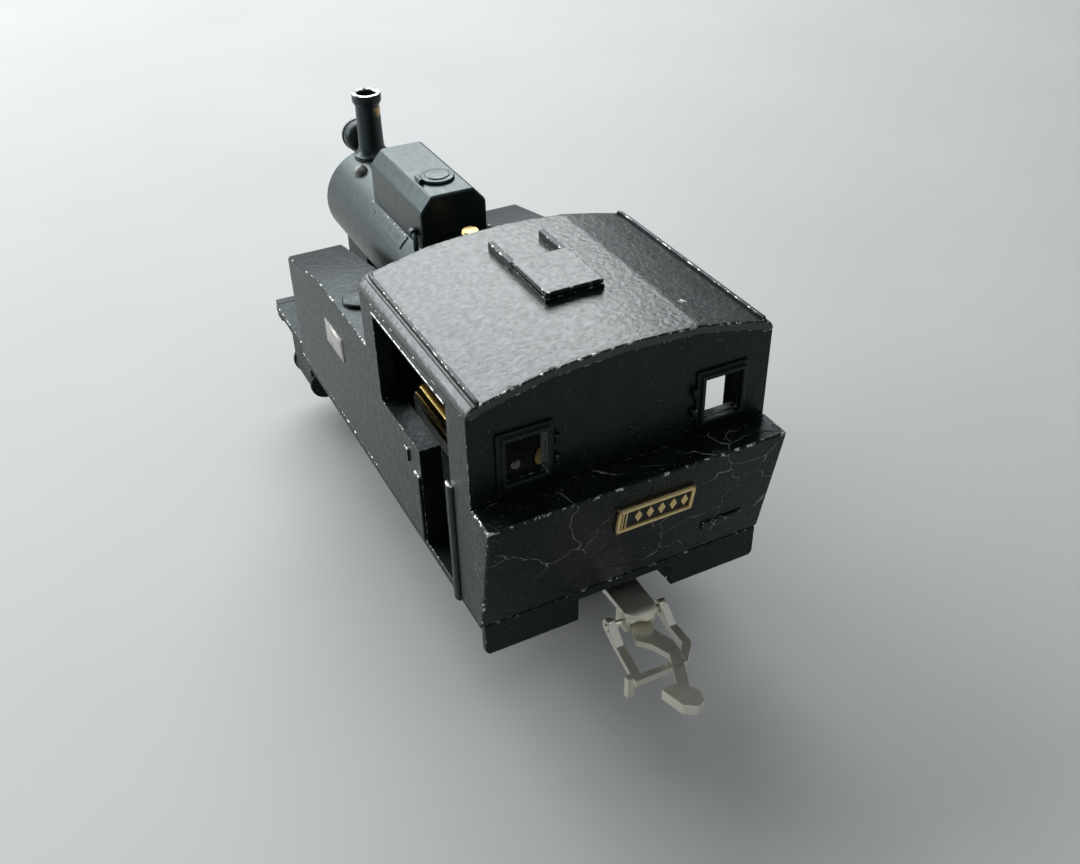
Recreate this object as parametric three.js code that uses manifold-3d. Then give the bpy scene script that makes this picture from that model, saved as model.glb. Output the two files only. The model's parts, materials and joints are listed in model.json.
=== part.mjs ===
// A 16.5 mm gauge model of a small four-wheeled side tank locomotive.
// Millimetres. +X is forward, +Y is to the locomotive's left, +Z is up.
// The origin is on the centre line, half way between the coupler tips, level with the bottom of the
// wheel flanges.

import * as THREE from 'three';
import { mergeVertices } from 'three/addons/utils/BufferGeometryUtils.js';
import Module from 'manifold-3d';

const wasm = await Module();
wasm.setup();

// ---------------------------------------------------------------- driving dimensions

const BACK_TO_BACK = 14.5;       // between the backs of the two wheels on one axle
const WHEEL_WIDTH = 2.8;
const TREAD_RADIUS = 5.375;
const FLANGE_DEPTH = 1.0;
const AXLE_RADIUS = 1.0;
const REAR_AXLE_X = -11;
const FRONT_AXLE_X = 12;
const AXLE_Z = TREAD_RADIUS + FLANGE_DEPTH;
const CRANK_THROW = 2.5;
const CRANK_PIN_RADIUS = 0.6;
const SPOKES = 10;

const FACE = BACK_TO_BACK / 2 + WHEEL_WIDTH;              // outer face of a wheel
const COUPLING_ROD = { y0: FACE + 0.25, y1: FACE + 1.05 };
const MAIN_ROD = { y0: FACE + 1.4, y1: FACE + 2.05, length: 27 };
const CROSSHEAD_Y = { y0: FACE + 2.3, y1: FACE + 3.45 };

const FLOOR = 14.2;              // top of the footplate
const FLOOR_THICKNESS = 1.0;
const FOOTPLATE = { rear: -36.25, front: 35.95, half: 16.3, noseHalf: 15.7 };
const BODY_HALF_WIDTH = 16.4;
const WALL = 1.0;

const CAB_REAR = -36;
const CAB_FRONT = -8.9;
const WALL_TOP = 38.4;
const CAB_INNER_Y = 14.7;        // half the width inside the cab
const CAB_WINDOW = { rear: -31.4, front: -12.5, sill: 26.7, top: 37.3 };
const DOORWAY_FRONT = -23.1;
const SILL_INNER_Y = 14.0;       // the thick lower side of the cab reaches in to here
const REAR_WINDOW = { inner: 8.6, outer: 12.9, bottom: 30.4, top: 35.2 };
const FRONT_WINDOW = { inner: 9.0, outer: 13.2, bottom: 32.6, top: 36.2 };
const ROOF_CROWN = 41.7;
const ROOF_OVERHANG = { rear: 0.15, front: 0.5 };
const HATCH = { rear: -26.0, front: -18.3, half: 3.2, rise: 1.0, railFront: -13.0 };

const BUNKER_HALF_WIDTH = 16.5;
const BUNKER_TOP = 28.5;
const BUNKER_TOP_X = -40;
const BUNKER_FOOT_X = -37.1;

const TANK = { inner: 9.0, outer: 16.3, front: 21.3, bend: 7.5, top: 31.5, nose: 28.7, skin: 0.9 };

const BOILER_RADIUS = 6.5;
const BOILER_SKIN = 0.8;
const BOILER_Z = 29;
const SMOKEBOX_REAR = 23.5;
const SMOKEBOX_FRONT = 34.5;
const DOME = { rear: 3.7, front: 20.5, half: 4.2, topHalf: 2.66, shoulder: 39.0, top: 40.8 };
const CHIMNEY_X = 32;
const CHIMNEY_TOP = 44;
const HEADLIGHT_Z = 36.3;

const FRAME_PLATE = { inner: 5.9, outer: 6.9, top: 13.15, bottom: 2.9 };
const REAR_BEAM = { inner: -36.27, outer: -37.15, half: 16.2, bottom: 10.2, corner: 0.4 };
const FRONT_BEAM = { inner: 35.97, outer: 37.5, half: 15.3, bottom: 10.0, corner: 1.5 };
const BEAM_NOTCH = { half: 5.6, top: 13.1 };     // the gap over the coupler

const MOTOR = { z: 18.4, radius: 7.8, rear: -18, front: 3.0, skin: 0.7, shaft: 0.75 };
const GEAR_MODULE = 0.4;
const PINION_TEETH = 13;
const SHAFT_GEAR_TEETH = 21;
const GEAR_X = { rear: 5.4, front: 6.9 };
const WORM_Z = MOTOR.z - GEAR_MODULE * (PINION_TEETH + SHAFT_GEAR_TEETH) / 2;
const WORM_RADIUS = 1.7;
const WORM_WHEEL_RADIUS = 3.3;

const CYLINDER = { y: 12.9, radius: 2.1, rear: 24.3, front: 32.8, outer: 14.9, pistonRod: 0.4 };

const COUPLER_PIVOT_X = 32;      // distance of each coupler's swing pin from the middle
const COUPLER_PIN = { x: 7.0, z: 9.6, radius: 0.4, right: -3.5, left: 3.9 };
const SHANK_Z = { bottom: 10.75, top: 11.45 };
const HOOK_Z = { bottom: 9.1, top: 9.9 };
const LOOP_Z = { bottom: 8.1, top: 8.9 };
const COUPLER_REACH = 20.4;      // swing pin to tip of hook

// Flats in a full turn: fine for pins, medium for most rounds, wide for the largest.
const FLATS = { pin: 12, small: 16, medium: 24, wide: 32 };

// ---------------------------------------------------------------- materials

function material(color, roughness, metalness) {
  return new THREE.MeshStandardMaterial({ color, roughness, metalness });
}

const blackPaint = material(0x1b1f21, 0.42, 0.35);
const brass = material(0xc9a24a, 0.28, 1.0);
const steel = material(0xa9a8a2, 0.35, 1.0);
const nickel = material(0xcfcab8, 0.22, 1.0);
const blackPlastic = material(0x151515, 0.55, 0.0);
const lampGlass = material(0xe8e6d8, 0.1, 0.0);
const laminations = material(0x6f6a63, 0.45, 0.9);

// ---------------------------------------------------------------- solids

// Signed volume tells which way the faces look; a mirrored geometry is turned the right way out.
function facingOut(geometry) {
  const merged = geometry.clone();
  merged.deleteAttribute('normal');
  merged.deleteAttribute('uv');
  const g = mergeVertices(merged, 1e-4);
  const p = g.attributes.position;
  const index = g.index.array;
  const [a, b, c] = [new THREE.Vector3(), new THREE.Vector3(), new THREE.Vector3()];
  let volume = 0;
  for (let i = 0; i < index.length; i += 3) {
    a.fromBufferAttribute(p, index[i]);
    b.fromBufferAttribute(p, index[i + 1]);
    c.fromBufferAttribute(p, index[i + 2]);
    volume += a.dot(b.cross(c)) / 6;
  }
  if (volume < 0) {
    for (let i = 0; i < index.length; i += 3) [index[i], index[i + 1]] = [index[i + 1], index[i]];
  }
  return g;
}

function toSolid(geometry) {
  const g = facingOut(geometry);
  const mesh = new wasm.Mesh({
    numProp: 3,
    vertProperties: new Float32Array(g.attributes.position.array),
    triVerts: new Uint32Array(g.index.array),
  });
  return new wasm.Manifold(mesh);
}

function toGeometry(solid) {
  const mesh = solid.getMesh();
  const g = new THREE.BufferGeometry();
  g.setAttribute('position', new THREE.BufferAttribute(mesh.vertProperties, 3));
  g.setIndex(new THREE.BufferAttribute(mesh.triVerts, 1));
  return g;
}

function join(...pieces) {
  return toGeometry(pieces.map(toSolid).reduce((sum, piece) => sum.add(piece)));
}

function cut(piece, ...tools) {
  return toGeometry(tools.map(toSolid).reduce((left, tool) => left.subtract(tool), toSolid(piece)));
}

function overlapOf(a, b) {
  return toGeometry(toSolid(a).intersect(toSolid(b)));
}

function box(x0, x1, y0, y1, z0, z1) {
  const g = new THREE.BoxGeometry(x1 - x0, y1 - y0, z1 - z0);
  return g.translate((x0 + x1) / 2, (y0 + y1) / 2, (z0 + z1) / 2);
}

function outline(points) {
  return new THREE.Shape(points.map(([a, b]) => new THREE.Vector2(a, b)));
}

function extrude(points, depth) {
  return new THREE.ExtrudeGeometry(outline(points), { depth, bevelEnabled: false, steps: 1 });
}

// An outline of [y, z] points, carried along X.
function alongX(points, x0, x1) {
  const turn = new THREE.Matrix4().makeBasis(
    new THREE.Vector3(0, 1, 0), new THREE.Vector3(0, 0, 1), new THREE.Vector3(1, 0, 0));
  return extrude(points, x1 - x0).applyMatrix4(turn).translate(x0, 0, 0);
}

// An outline of [x, z] points, carried along Y.
function alongY(points, y0, y1) {
  return extrude(points, y1 - y0).rotateX(Math.PI / 2).translate(0, y1, 0);
}

// An outline of [x, y] points, carried along Z.
function alongZ(points, z0, z1) {
  return extrude(points, z1 - z0).translate(0, 0, z0);
}

// A closed profile of [radius, height] points turned about an axis through the given centre.
const AXES = {
  x: new THREE.Matrix4().makeRotationZ(-Math.PI / 2),
  y: new THREE.Matrix4(),
  z: new THREE.Matrix4().makeRotationX(Math.PI / 2),
};

function turned(axis, profile, centre, segments = FLATS.small) {
  const points = profile.map(([radius, height]) => new THREE.Vector2(radius, height));
  return new THREE.LatheGeometry(points, segments).applyMatrix4(AXES[axis]).translate(...centre);
}

function rod(axis, radius, from, to, centre, segments = FLATS.small) {
  return turned(axis, [[0, from], [radius, from], [radius, to], [0, to]], centre, segments);
}

function mirrored(points) {
  return points.concat(points.map(([a, b]) => [-a, b]).reverse());
}

function arc(cx, cy, radius, fromDegrees, toDegrees, steps) {
  return Array.from({ length: steps + 1 }, (_, i) => {
    const angle = THREE.MathUtils.degToRad(fromDegrees + (toDegrees - fromDegrees) * i / steps);
    return [cx + radius * Math.cos(angle), cy + radius * Math.sin(angle)];
  });
}

// Geometry drawn for the left side, mirrored when side is -1.
function onSide(geometry, side) {
  return side > 0 ? geometry : facingOut(geometry.scale(1, -1, 1));
}

const SIDES = [['left', 1], ['right', -1]];

const locomotive = new THREE.Group();

function add(name, geometry, finish, parent = locomotive) {
  const mesh = new THREE.Mesh(facingOut(geometry), finish);
  mesh.name = name;
  parent.add(mesh);
  return mesh;
}

// ---------------------------------------------------------------- body

// Left half of the cab's cross-section under the roof sheet, from the wall top to the crown.
const ROOF_UNDERSIDE = [
  [15.4, WALL_TOP], [14.8, WALL_TOP + 0.3], [11.7, 39.5], [7.7, 40.3], [0.001, ROOF_CROWN - WALL],
];

// The arched way for the motor through the cab front and along the inner sides of the tanks.
function motorWay(x0, x1) {
  return alongX(mirrored([[11.8, FLOOR - 2], [11.8, 24.5], [8.4, 27.4]]), x0, x1);
}

function cabShell() {
  const wall = mirrored([[BODY_HALF_WIDTH, FLOOR], [BODY_HALF_WIDTH, WALL_TOP], ...ROOF_UNDERSIDE]);
  const outer = alongX(wall, CAB_REAR, CAB_FRONT);
  const inner = box(
    CAB_REAR + WALL, CAB_FRONT - WALL, -CAB_INNER_Y, CAB_INNER_Y, FLOOR - 1, ROOF_CROWN + 1);
  const sides = [1, -1].map((side) => onSide(
    box(DOORWAY_FRONT, CAB_FRONT - WALL / 2, SILL_INNER_Y, CAB_INNER_Y + 0.5, FLOOR, CAB_WINDOW.sill),
    side));
  const { rear, front, sill, top } = CAB_WINDOW;
  const opening = [
    [rear, FLOOR - 1], [DOORWAY_FRONT, FLOOR - 1], [DOORWAY_FRONT, sill], [front, sill], [front, top],
    [rear, top],
  ];
  const rearWindows = [1, -1].map((side) => rearWindowHole(side));
  const frontWindows = [1, -1].map((side) => onSide(
    box(CAB_FRONT - 2, CAB_FRONT + 1, FRONT_WINDOW.inner, FRONT_WINDOW.outer, FRONT_WINDOW.bottom,
      FRONT_WINDOW.top), side));
  const walls = join(cut(outer, inner), ...sides);
  return cut(walls, alongY(opening, -20, 20), ...rearWindows, ...frontWindows,
    motorWay(CAB_FRONT - 2, CAB_FRONT + 1));
}

function rearWindowHole(side) {
  const { inner, outer, bottom, top } = REAR_WINDOW;
  return onSide(box(CAB_REAR - 2, CAB_REAR + 2, inner, outer, bottom, top), side);
}

// Rounded shoulder, rain gutter strip, then three flats up to the crown.
const ROOF_TOP = [
  ...arc(15.1, WALL_TOP, BODY_HALF_WIDTH - 15.1, 0, 78, 5), [15.35, 39.95], [14.95, 40.0], [14.85, 39.7],
  [11.8, 40.5], [7.7, 41.3], [0.001, ROOF_CROWN],
];

function cabRoof() {
  return alongX([...mirrored(ROOF_TOP), ...mirrored(ROOF_UNDERSIDE).reverse()],
    CAB_REAR - ROOF_OVERHANG.rear, CAB_FRONT + ROOF_OVERHANG.front);
}

// A sliding lid on two rails that run on in front of it.
function roofHatch() {
  const { rear, front, half, rise, railFront } = HATCH;
  const root = ROOF_CROWN - 0.8;
  const lid = box(rear, front, -half, half, root, ROOF_CROWN + rise);
  const rails = [1, -1].map((side) => onSide(
    box(front - 0.1, railFront, half - 0.6, half + 0.1, root, ROOF_CROWN + rise - 0.2), side));
  const roofSkin = mirrored([[15, 38], ...ROOF_TOP.slice(-3).map(([y, z]) => [y, z + 0.02])]);
  return cut(join(lid, ...rails), alongX(roofSkin, -30, -10));
}

function rearWindowFrame(side) {
  const { inner, outer, bottom, top } = REAR_WINDOW;
  const around = (margin, x0, x1) => box(
    CAB_REAR - x1, CAB_REAR - x0, inner - margin, outer + margin, bottom - margin, top + margin);
  return cut(onSide(join(around(0.8, 0.01, 0.35), around(0.4, 0.2, 0.7)), side), rearWindowHole(side));
}

function coalBunker() {
  const side = [[BUNKER_FOOT_X, FLOOR], [CAB_REAR - 0.05, FLOOR], [CAB_REAR - 0.05, BUNKER_TOP],
    [BUNKER_TOP_X, BUNKER_TOP]];
  return alongY(side, -BUNKER_HALF_WIDTH, BUNKER_HALF_WIDTH);
}

// Where the sloping back of the bunker lies at a height, moved out by a distance.
function bunkerBack(z, out) {
  const slope = (BUNKER_TOP_X - BUNKER_FOOT_X) / (BUNKER_TOP - FLOOR);
  return BUNKER_FOOT_X + slope * (z - FLOOR) - out;
}

function rearNumberPlate() {
  const [low, high] = [22.4, 25.6];
  const corners = [[low, 0.02], [high, 0.02], [high, 0.55], [low, 0.55]];
  return alongY(corners.map(([z, out]) => [bunkerBack(z, out), z]), -6.0, 2.7);
}

function beam({ inner, outer, half, bottom, corner }) {
  const face = [[BEAM_NOTCH.half, BEAM_NOTCH.top], [BEAM_NOTCH.half, bottom], [half - corner, bottom],
    [half, bottom + corner], [half, FLOOR - 0.02]];
  return alongX(mirrored(face), Math.min(inner, outer), Math.max(inner, outer));
}

function footplate() {
  const { rear, front, half, noseHalf } = FOOTPLATE;
  const edge = [[half, rear], [half, TANK.front], [noseHalf, TANK.front + 0.6], [noseHalf, front]];
  const plate = alongZ(mirrored(edge).map(([y, x]) => [x, y]), FLOOR - FLOOR_THICKNESS, FLOOR);
  return cut(plate, box(-27, 17.6, -8.2, 8.2, FLOOR - 3, FLOOR + 1));
}

function sideTank(side) {
  const { inner, outer, front, bend, top, nose, skin } = TANK;
  const rear = CAB_FRONT + 0.05;
  const shape = [[rear, FLOOR], [front, FLOOR], [front, nose], [bend, top], [rear, top]];
  const hollow = [[rear + skin, FLOOR - 1], [front - skin, FLOOR - 1], [front - skin, nose - skin],
    [bend, top - skin], [rear + skin, top - skin]];
  const shell = cut(alongY(shape, inner, outer), alongY(hollow, inner + skin, outer - skin));
  return onSide(cut(shell, motorWay(rear - 1, MOTOR.front - 2)), side);
}

function tankFiller(side) {
  const lid = rod('z', 2.0, 0, 0.6, [1, 13.5, TANK.top], FLATS.small);
  const hinge = box(-1.9, -0.6, 12.9, 14.1, TANK.top, TANK.top + 0.5);
  return onSide(join(lid, hinge), side);
}

// ---------------------------------------------------------------- boiler and its fittings

const boilerLine = (radius, x0, x1) => rod('x', radius, x0, x1, [0, 0, BOILER_Z], FLATS.wide);

function boilerBarrel() {
  const [x0, x1] = [CAB_FRONT + 0.05, SMOKEBOX_REAR - 0.02];
  const bore = boilerLine(BOILER_RADIUS - BOILER_SKIN, x0 - 1, x1 + 1);
  const openUnderside = box(CAB_FRONT - 1, 6.5, -9, 9, BOILER_Z - 9, 27);
  return cut(boilerLine(BOILER_RADIUS, x0, x1), bore, openUnderside);
}

function smokebox() {
  const shell = boilerLine(BOILER_RADIUS, SMOKEBOX_REAR, SMOKEBOX_FRONT);
  const bore = boilerLine(BOILER_RADIUS - BOILER_SKIN, SMOKEBOX_REAR - 1, SMOKEBOX_FRONT - BOILER_SKIN);
  return cut(shell, bore);
}

function smokeboxSaddle() {
  const block = box(25.2, 33.2, -4.6, 4.6, FLOOR, BOILER_Z - 3);
  return cut(block, boilerLine(BOILER_RADIUS + 0.03, SMOKEBOX_REAR, SMOKEBOX_FRONT + 1));
}

function smokeboxDoor() {
  const profile = [[0, 0.02], [4.8, 0.02], [4.8, 0.5], [3.6, 1.0], [1.8, 1.35], [0.6, 1.45], [0.6, 2.2],
    [0, 2.2]];
  const door = turned('x', profile, [SMOKEBOX_FRONT, 0, BOILER_Z], FLATS.medium);
  const dart = box(
    SMOKEBOX_FRONT + 1.9, SMOKEBOX_FRONT + 2.3, -0.25, 0.25, BOILER_Z - 1.5, BOILER_Z + 1.5);
  return join(door, dart);
}

function chimney() {
  const foot = BOILER_Z + BOILER_RADIUS - 1.2;
  const profile = [[0, foot], [2.4, foot], [2.2, foot + 1.7], [1.7, foot + 2.3],
    [1.65, CHIMNEY_TOP - 1.6], [1.95, CHIMNEY_TOP - 0.9], [1.95, CHIMNEY_TOP], [1.25, CHIMNEY_TOP],
    [1.1, 38.5], [0, 38.5]];
  const stack = turned('z', profile, [CHIMNEY_X, 0, 0], FLATS.small);
  return cut(stack, boilerLine(BOILER_RADIUS + 0.03, SMOKEBOX_REAR, SMOKEBOX_FRONT + 3));
}

function headlight() {
  const profile = [[0, 0], [1.3, 0.1], [2.0, 0.7], [2.2, 1.4], [2.2, 3.0], [1.75, 3.0], [1.75, 2.0],
    [0, 2.0]];
  const lamp = turned('x', profile, [SMOKEBOX_FRONT + 0.4, 0, HEADLIGHT_Z], FLATS.small);
  const bracket = box(
    SMOKEBOX_FRONT + 0.02, SMOKEBOX_FRONT + 1.3, -0.6, 0.6, BOILER_Z + 4.95, HEADLIGHT_Z - 1.2);
  return join(lamp, bracket);
}

function headlightLens() {
  const profile = [[0, 0], [1.7, 0], [1.7, 0.5], [1.0, 0.8], [0, 0.9]];
  return turned('x', profile, [SMOKEBOX_FRONT + 2.42, 0, HEADLIGHT_Z], FLATS.small);
}

function domeCasing() {
  const half = [[DOME.half, BOILER_Z + 3], [DOME.half, DOME.shoulder], [DOME.topHalf, DOME.top]];
  return cut(alongX(mirrored(half), DOME.rear, DOME.front), boilerLine(BOILER_RADIUS + 0.03, 0, 30));
}

function domeHatch() {
  const profile = [[0, 0.01], [2.1, 0.01], [2.1, 0.35], [1.8, 0.55], [0, 0.65]];
  const hinge = box(7.9, 8.9, 1.6, 2.6, DOME.top + 0.01, DOME.top + 0.45);
  return join(turned('z', profile, [8.4, 0, DOME.top]), hinge);
}

function safetyValve() {
  const foot = BOILER_Z + BOILER_RADIUS - 0.4;
  const profile = [[0, foot], [0.9, foot], [0.9, foot + 1.4], [1.05, foot + 1.6], [1.05, foot + 2.9],
    [0, foot + 2.9]];
  return cut(turned('z', profile, [-0.8, 0, 0]), boilerLine(BOILER_RADIUS + 0.03, -5, 5));
}

// ---------------------------------------------------------------- chassis

function framePlate(side) {
  const { inner, outer, top, bottom } = FRAME_PLATE;
  const edge = [[-35.5, top], [-35.5, 9.8], [-19.5, 8.2], [-17.5, bottom], [18.5, bottom], [20.5, 8.2],
    [35.5, 9.8], [35.5, top]];
  const bearings = [REAR_AXLE_X, FRONT_AXLE_X].map(
    (x) => rod('y', AXLE_RADIUS + 0.07, inner - 1, outer + 1, [x, 0, AXLE_Z]));
  return onSide(cut(alongY(edge, inner, outer), ...bearings), side);
}

function keeperPlate() {
  const { outer, bottom } = FRAME_PLATE;
  return box(-17, 18, -outer, outer, bottom - 0.8, bottom - 0.02);
}

function cylinderBlock(side) {
  const { y, radius, rear, front, outer, pistonRod } = CYLINDER;
  const barrel = rod('x', radius, rear, front, [0, y, AXLE_Z], FLATS.medium);
  const covers = [rod('x', radius + 0.2, rear, rear + 0.6, [0, y, AXLE_Z], FLATS.medium),
    rod('x', radius + 0.2, front - 0.6, front, [0, y, AXLE_Z], FLATS.medium)];
  const steamChest = box(rear + 0.4, front - 0.4, 10.3, outer, AXLE_Z + 1, FRAME_PLATE.top);
  const root = box(
    rear + 0.4, front - 0.4, FRAME_PLATE.outer + 0.02, 11.5, AXLE_Z - 1.2, FRAME_PLATE.top);
  const bore = rod('x', pistonRod + 0.1, rear - 1, front - 0.9, [0, y, AXLE_Z], FLATS.pin);
  return onSide(cut(join(barrel, ...covers, steamChest, root), bore), side);
}

function slideBar(side) {
  const { y0, y1 } = CROSSHEAD_Y;
  const bar = box(11.6, CYLINDER.rear - 0.02, y0, y1, AXLE_Z + 2.25, AXLE_Z + 3.1);
  const hanger = box(11.6, 12.6, y0, y1, AXLE_Z + 2.25, FLOOR - FLOOR_THICKNESS - 0.02);
  return onSide(join(bar, hanger), side);
}

function couplerPin() {
  const top = FLOOR - FLOOR_THICKNESS - 0.02;
  return turned('z', [[0, 9.95], [1.5, 9.95], [1.5, 10.5], [0.8, 10.5], [0.8, top], [0, top]], [0, 0, 0]);
}

// ---------------------------------------------------------------- wheels and rods

// A wheel lying on the Y axis with its crank pin towards +X; the counterweight fills the spokes opposite.
function wheel(side, pinEnd) {
  const back = BACK_TO_BACK / 2;
  const rimInner = TREAD_RADIUS - 0.95;
  const rim = turned('y', [
    [rimInner, back + 0.1], [AXLE_Z - 0.3, back + 0.1], [AXLE_Z, back + 0.3], [AXLE_Z - 0.1, back + 0.55],
    [TREAD_RADIUS, back + 0.85], [TREAD_RADIUS - 0.1, FACE],
    [rimInner, FACE], [rimInner, back + 0.1]], [0, 0, 0], FLATS.wide);
  const disc = rod('y', rimInner + 0.2, FACE - 1.7, FACE - 0.7, [0, 0, 0], FLATS.wide);
  const hub = rod('y', 1.75, back, FACE - 0.05, [0, 0, 0]);
  const boss = rod('y', 1.35, FACE - 1.5, FACE - 0.05, [CRANK_THROW, 0, 0]);
  const pin = rod('y', CRANK_PIN_RADIUS, FACE - 1, pinEnd, [CRANK_THROW, 0, 0], FLATS.pin);
  const head = rod('y', CRANK_PIN_RADIUS + 0.35, pinEnd - 0.2, pinEnd, [CRANK_THROW, 0, 0], FLATS.pin);
  const step = 360 / SPOKES;
  const windows = [];
  for (let i = 0; i < SPOKES; i += 1) {
    const middle = (i + 0.5) * step;
    if (Math.abs(middle - 180) < 1.2 * step) continue;
    const corners = [[2.0, 0.16], [rimInner - 0.05, 0.36], [rimInner - 0.05, -0.36], [2.0, -0.16]];
    const window = corners.map(([radius, part]) => {
      const angle = THREE.MathUtils.degToRad(middle + part * step);
      return [radius * Math.cos(angle), radius * Math.sin(angle)];
    });
    windows.push(alongY(window, FACE - 3, FACE + 0.5));
  }
  const bore = rod('y', AXLE_RADIUS + 0.02, back - 1, FACE - 0.4, [0, 0, 0]);
  const webbed = cut(join(rim, disc), ...windows);
  return onSide(cut(join(webbed, hub, boss, pin, head), bore), side);
}

function eye(x, z, outer, y0, y1) {
  return rod('y', outer, y0, y1, [x, 0, z]);
}

// A flat bar between two points of the XZ plane, with round eyes at both ends.
function linkRod([x0, z0], [x1, z1], { y0, y1 }, eyes, width, holes) {
  const [dx, dz] = [x1 - x0, z1 - z0];
  const length = Math.hypot(dx, dz);
  const [nx, nz] = [-dz / length * width / 2, dx / length * width / 2];
  const edges = [[x0 - nx, z0 - nz], [x1 - nx, z1 - nz], [x1 + nx, z1 + nz], [x0 + nx, z0 + nz]];
  const bar = alongY(edges, y0, y1);
  const whole = join(bar, eye(x0, z0, eyes[0], y0, y1), eye(x1, z1, eyes[1], y0, y1));
  const tools = [[x0, z0, holes[0]], [x1, z1, holes[1]]].filter(([, , radius]) => radius > 0);
  return cut(whole, ...tools.map(([x, z, radius]) => eye(x, z, radius, y0 - 1, y1 + 1)));
}

// The left crank points forward and the right crank down, so the two sides are a quarter turn apart.
const CRANK_AT = { left: [CRANK_THROW, 0], right: [0, -CRANK_THROW] };

function crankPin(sideName, axleX) {
  const [dx, dz] = CRANK_AT[sideName];
  return [axleX + dx, AXLE_Z + dz];
}

function crossheadX(sideName) {
  const [x, z] = crankPin(sideName, REAR_AXLE_X);
  return x + Math.sqrt(MAIN_ROD.length ** 2 - (z - AXLE_Z) ** 2);
}

function couplingRod(sideName, side) {
  const ends = [crankPin(sideName, REAR_AXLE_X), crankPin(sideName, FRONT_AXLE_X)];
  const hole = CRANK_PIN_RADIUS + 0.06;
  return onSide(linkRod(...ends, COUPLING_ROD, [1.35, 1.35], 1.3, [hole, hole]), side);
}

function mainRod(sideName, side) {
  const ends = [crankPin(sideName, REAR_AXLE_X), [crossheadX(sideName), AXLE_Z]];
  return onSide(linkRod(...ends, MAIN_ROD, [1.4, 1.1], 1.1, [CRANK_PIN_RADIUS + 0.06, 0]), side);
}

function crosshead(sideName, side) {
  const x = crossheadX(sideName);
  const { y0, y1 } = CROSSHEAD_Y;
  const shoe = box(x - 1.6, x + 1.6, y0, y1, AXLE_Z + 1.2, AXLE_Z + 2.15);
  const block = box(x - 1.1, x + 1.1, y0, y1, AXLE_Z - 1.1, AXLE_Z + 1.3);
  const piston = rod('x', CYLINDER.pistonRod, x, x + 12, [0, CYLINDER.y, AXLE_Z], FLATS.pin);
  return onSide(join(shoe, block, piston), side);
}

// ---------------------------------------------------------------- motor and gears

function motorCase() {
  const { radius, rear, front, skin } = MOTOR;
  const profile = [[radius - skin, rear], [radius, rear], [radius, front - 0.6], [radius - 0.6, front],
    [1.2, front], [1.2, front - skin], [radius - skin, front - skin], [radius - skin, rear]];
  return turned('x', profile, [0, 0, MOTOR.z], FLATS.wide);
}

function motorEndCap() {
  const { radius, rear, skin, shaft } = MOTOR;
  const profile = [[shaft + 0.1, rear - 1.9], [radius - 0.8, rear - 1.9], [radius, rear - 1.2],
    [radius, rear - 0.02], [radius - skin - 0.05, rear - 0.02], [radius - skin - 0.05, rear + 1],
    [shaft + 0.1, rear + 1],
    [shaft + 0.1, rear - 1.9]];
  return turned('x', profile, [0, 0, MOTOR.z], FLATS.wide);
}

function armature() {
  const { shaft } = MOTOR;
  const commutator = [[shaft, -16.6], [1.8, -16.6], [1.8, -14.2], [1.1, -14.2]];
  const core = [[1.1, -13], [5.8, -13], [5.8, -2], [1.1, -2]];
  const frontEnd = [[1.1, 1.5], [shaft, 1.5], [shaft, 7.4], [0, 7.4]];
  const profile = [[0, -20.6], [shaft, -20.6], ...commutator, ...core, ...frontEnd];
  return turned('x', profile, [0, 0, MOTOR.z]);
}

function motorBracket() {
  const plate = box(MOTOR.front + 0.02, MOTOR.front + 0.9, -5.85, 5.85, 10.4, 22.4);
  return cut(plate, rod('x', 1.2, 0, 8, [0, 0, MOTOR.z]));
}

// A spur gear on an axis along X, with one tooth at the given angle from +Y towards +Z.
function spurGear(teeth, firstTooth, z, bore) {
  const pitchRadius = GEAR_MODULE * teeth / 2;
  const step = 360 / teeth;
  const edge = [];
  for (let i = 0; i < teeth; i += 1) {
    for (const [part, rise] of [[-0.29, -0.46], [-0.09, 0.28], [0.09, 0.28], [0.29, -0.46]]) {
      const angle = THREE.MathUtils.degToRad(firstTooth + (i + part) * step);
      edge.push([(pitchRadius + rise) * Math.cos(angle), (pitchRadius + rise) * Math.sin(angle)]);
    }
  }
  const blank = alongX(edge, GEAR_X.rear, GEAR_X.front);
  return cut(blank, rod('x', bore, 0, 10, [0, 0, 0])).translate(0, 0, z);
}

function wormShaft() {
  const shaft = 0.6;
  const profile = [[0, 4.7], [shaft, 4.7], [shaft, 9.4], [WORM_RADIUS, 9.4], [WORM_RADIUS, 14.6],
    [shaft, 14.6], [shaft, 17.5], [0, 17.5]];
  return turned('x', profile, [0, 0, WORM_Z]);
}

function wormBracket() {
  const ring = cut(box(7.3, 16.9, -5.85, 5.85, 10.0, 13.1), box(8.3, 15.9, -4.8, 4.8, 9, 14));
  return cut(ring, rod('x', 0.68, 5, 19, [0, 0, WORM_Z]));
}

function wormWheel() {
  const bore = AXLE_RADIUS + 0.02;
  const rim = [[WORM_WHEEL_RADIUS, -1.4], [WORM_WHEEL_RADIUS, 1.4]];
  const profile = [[bore, -2.6], [1.8, -2.6], [1.8, -1.4], ...rim, [1.8, 1.4], [1.8, 2.6], [bore, 2.6],
    [bore, -2.6]];
  return turned('y', profile, [0, 0, 0]);
}

// ---------------------------------------------------------------- couplers

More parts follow.
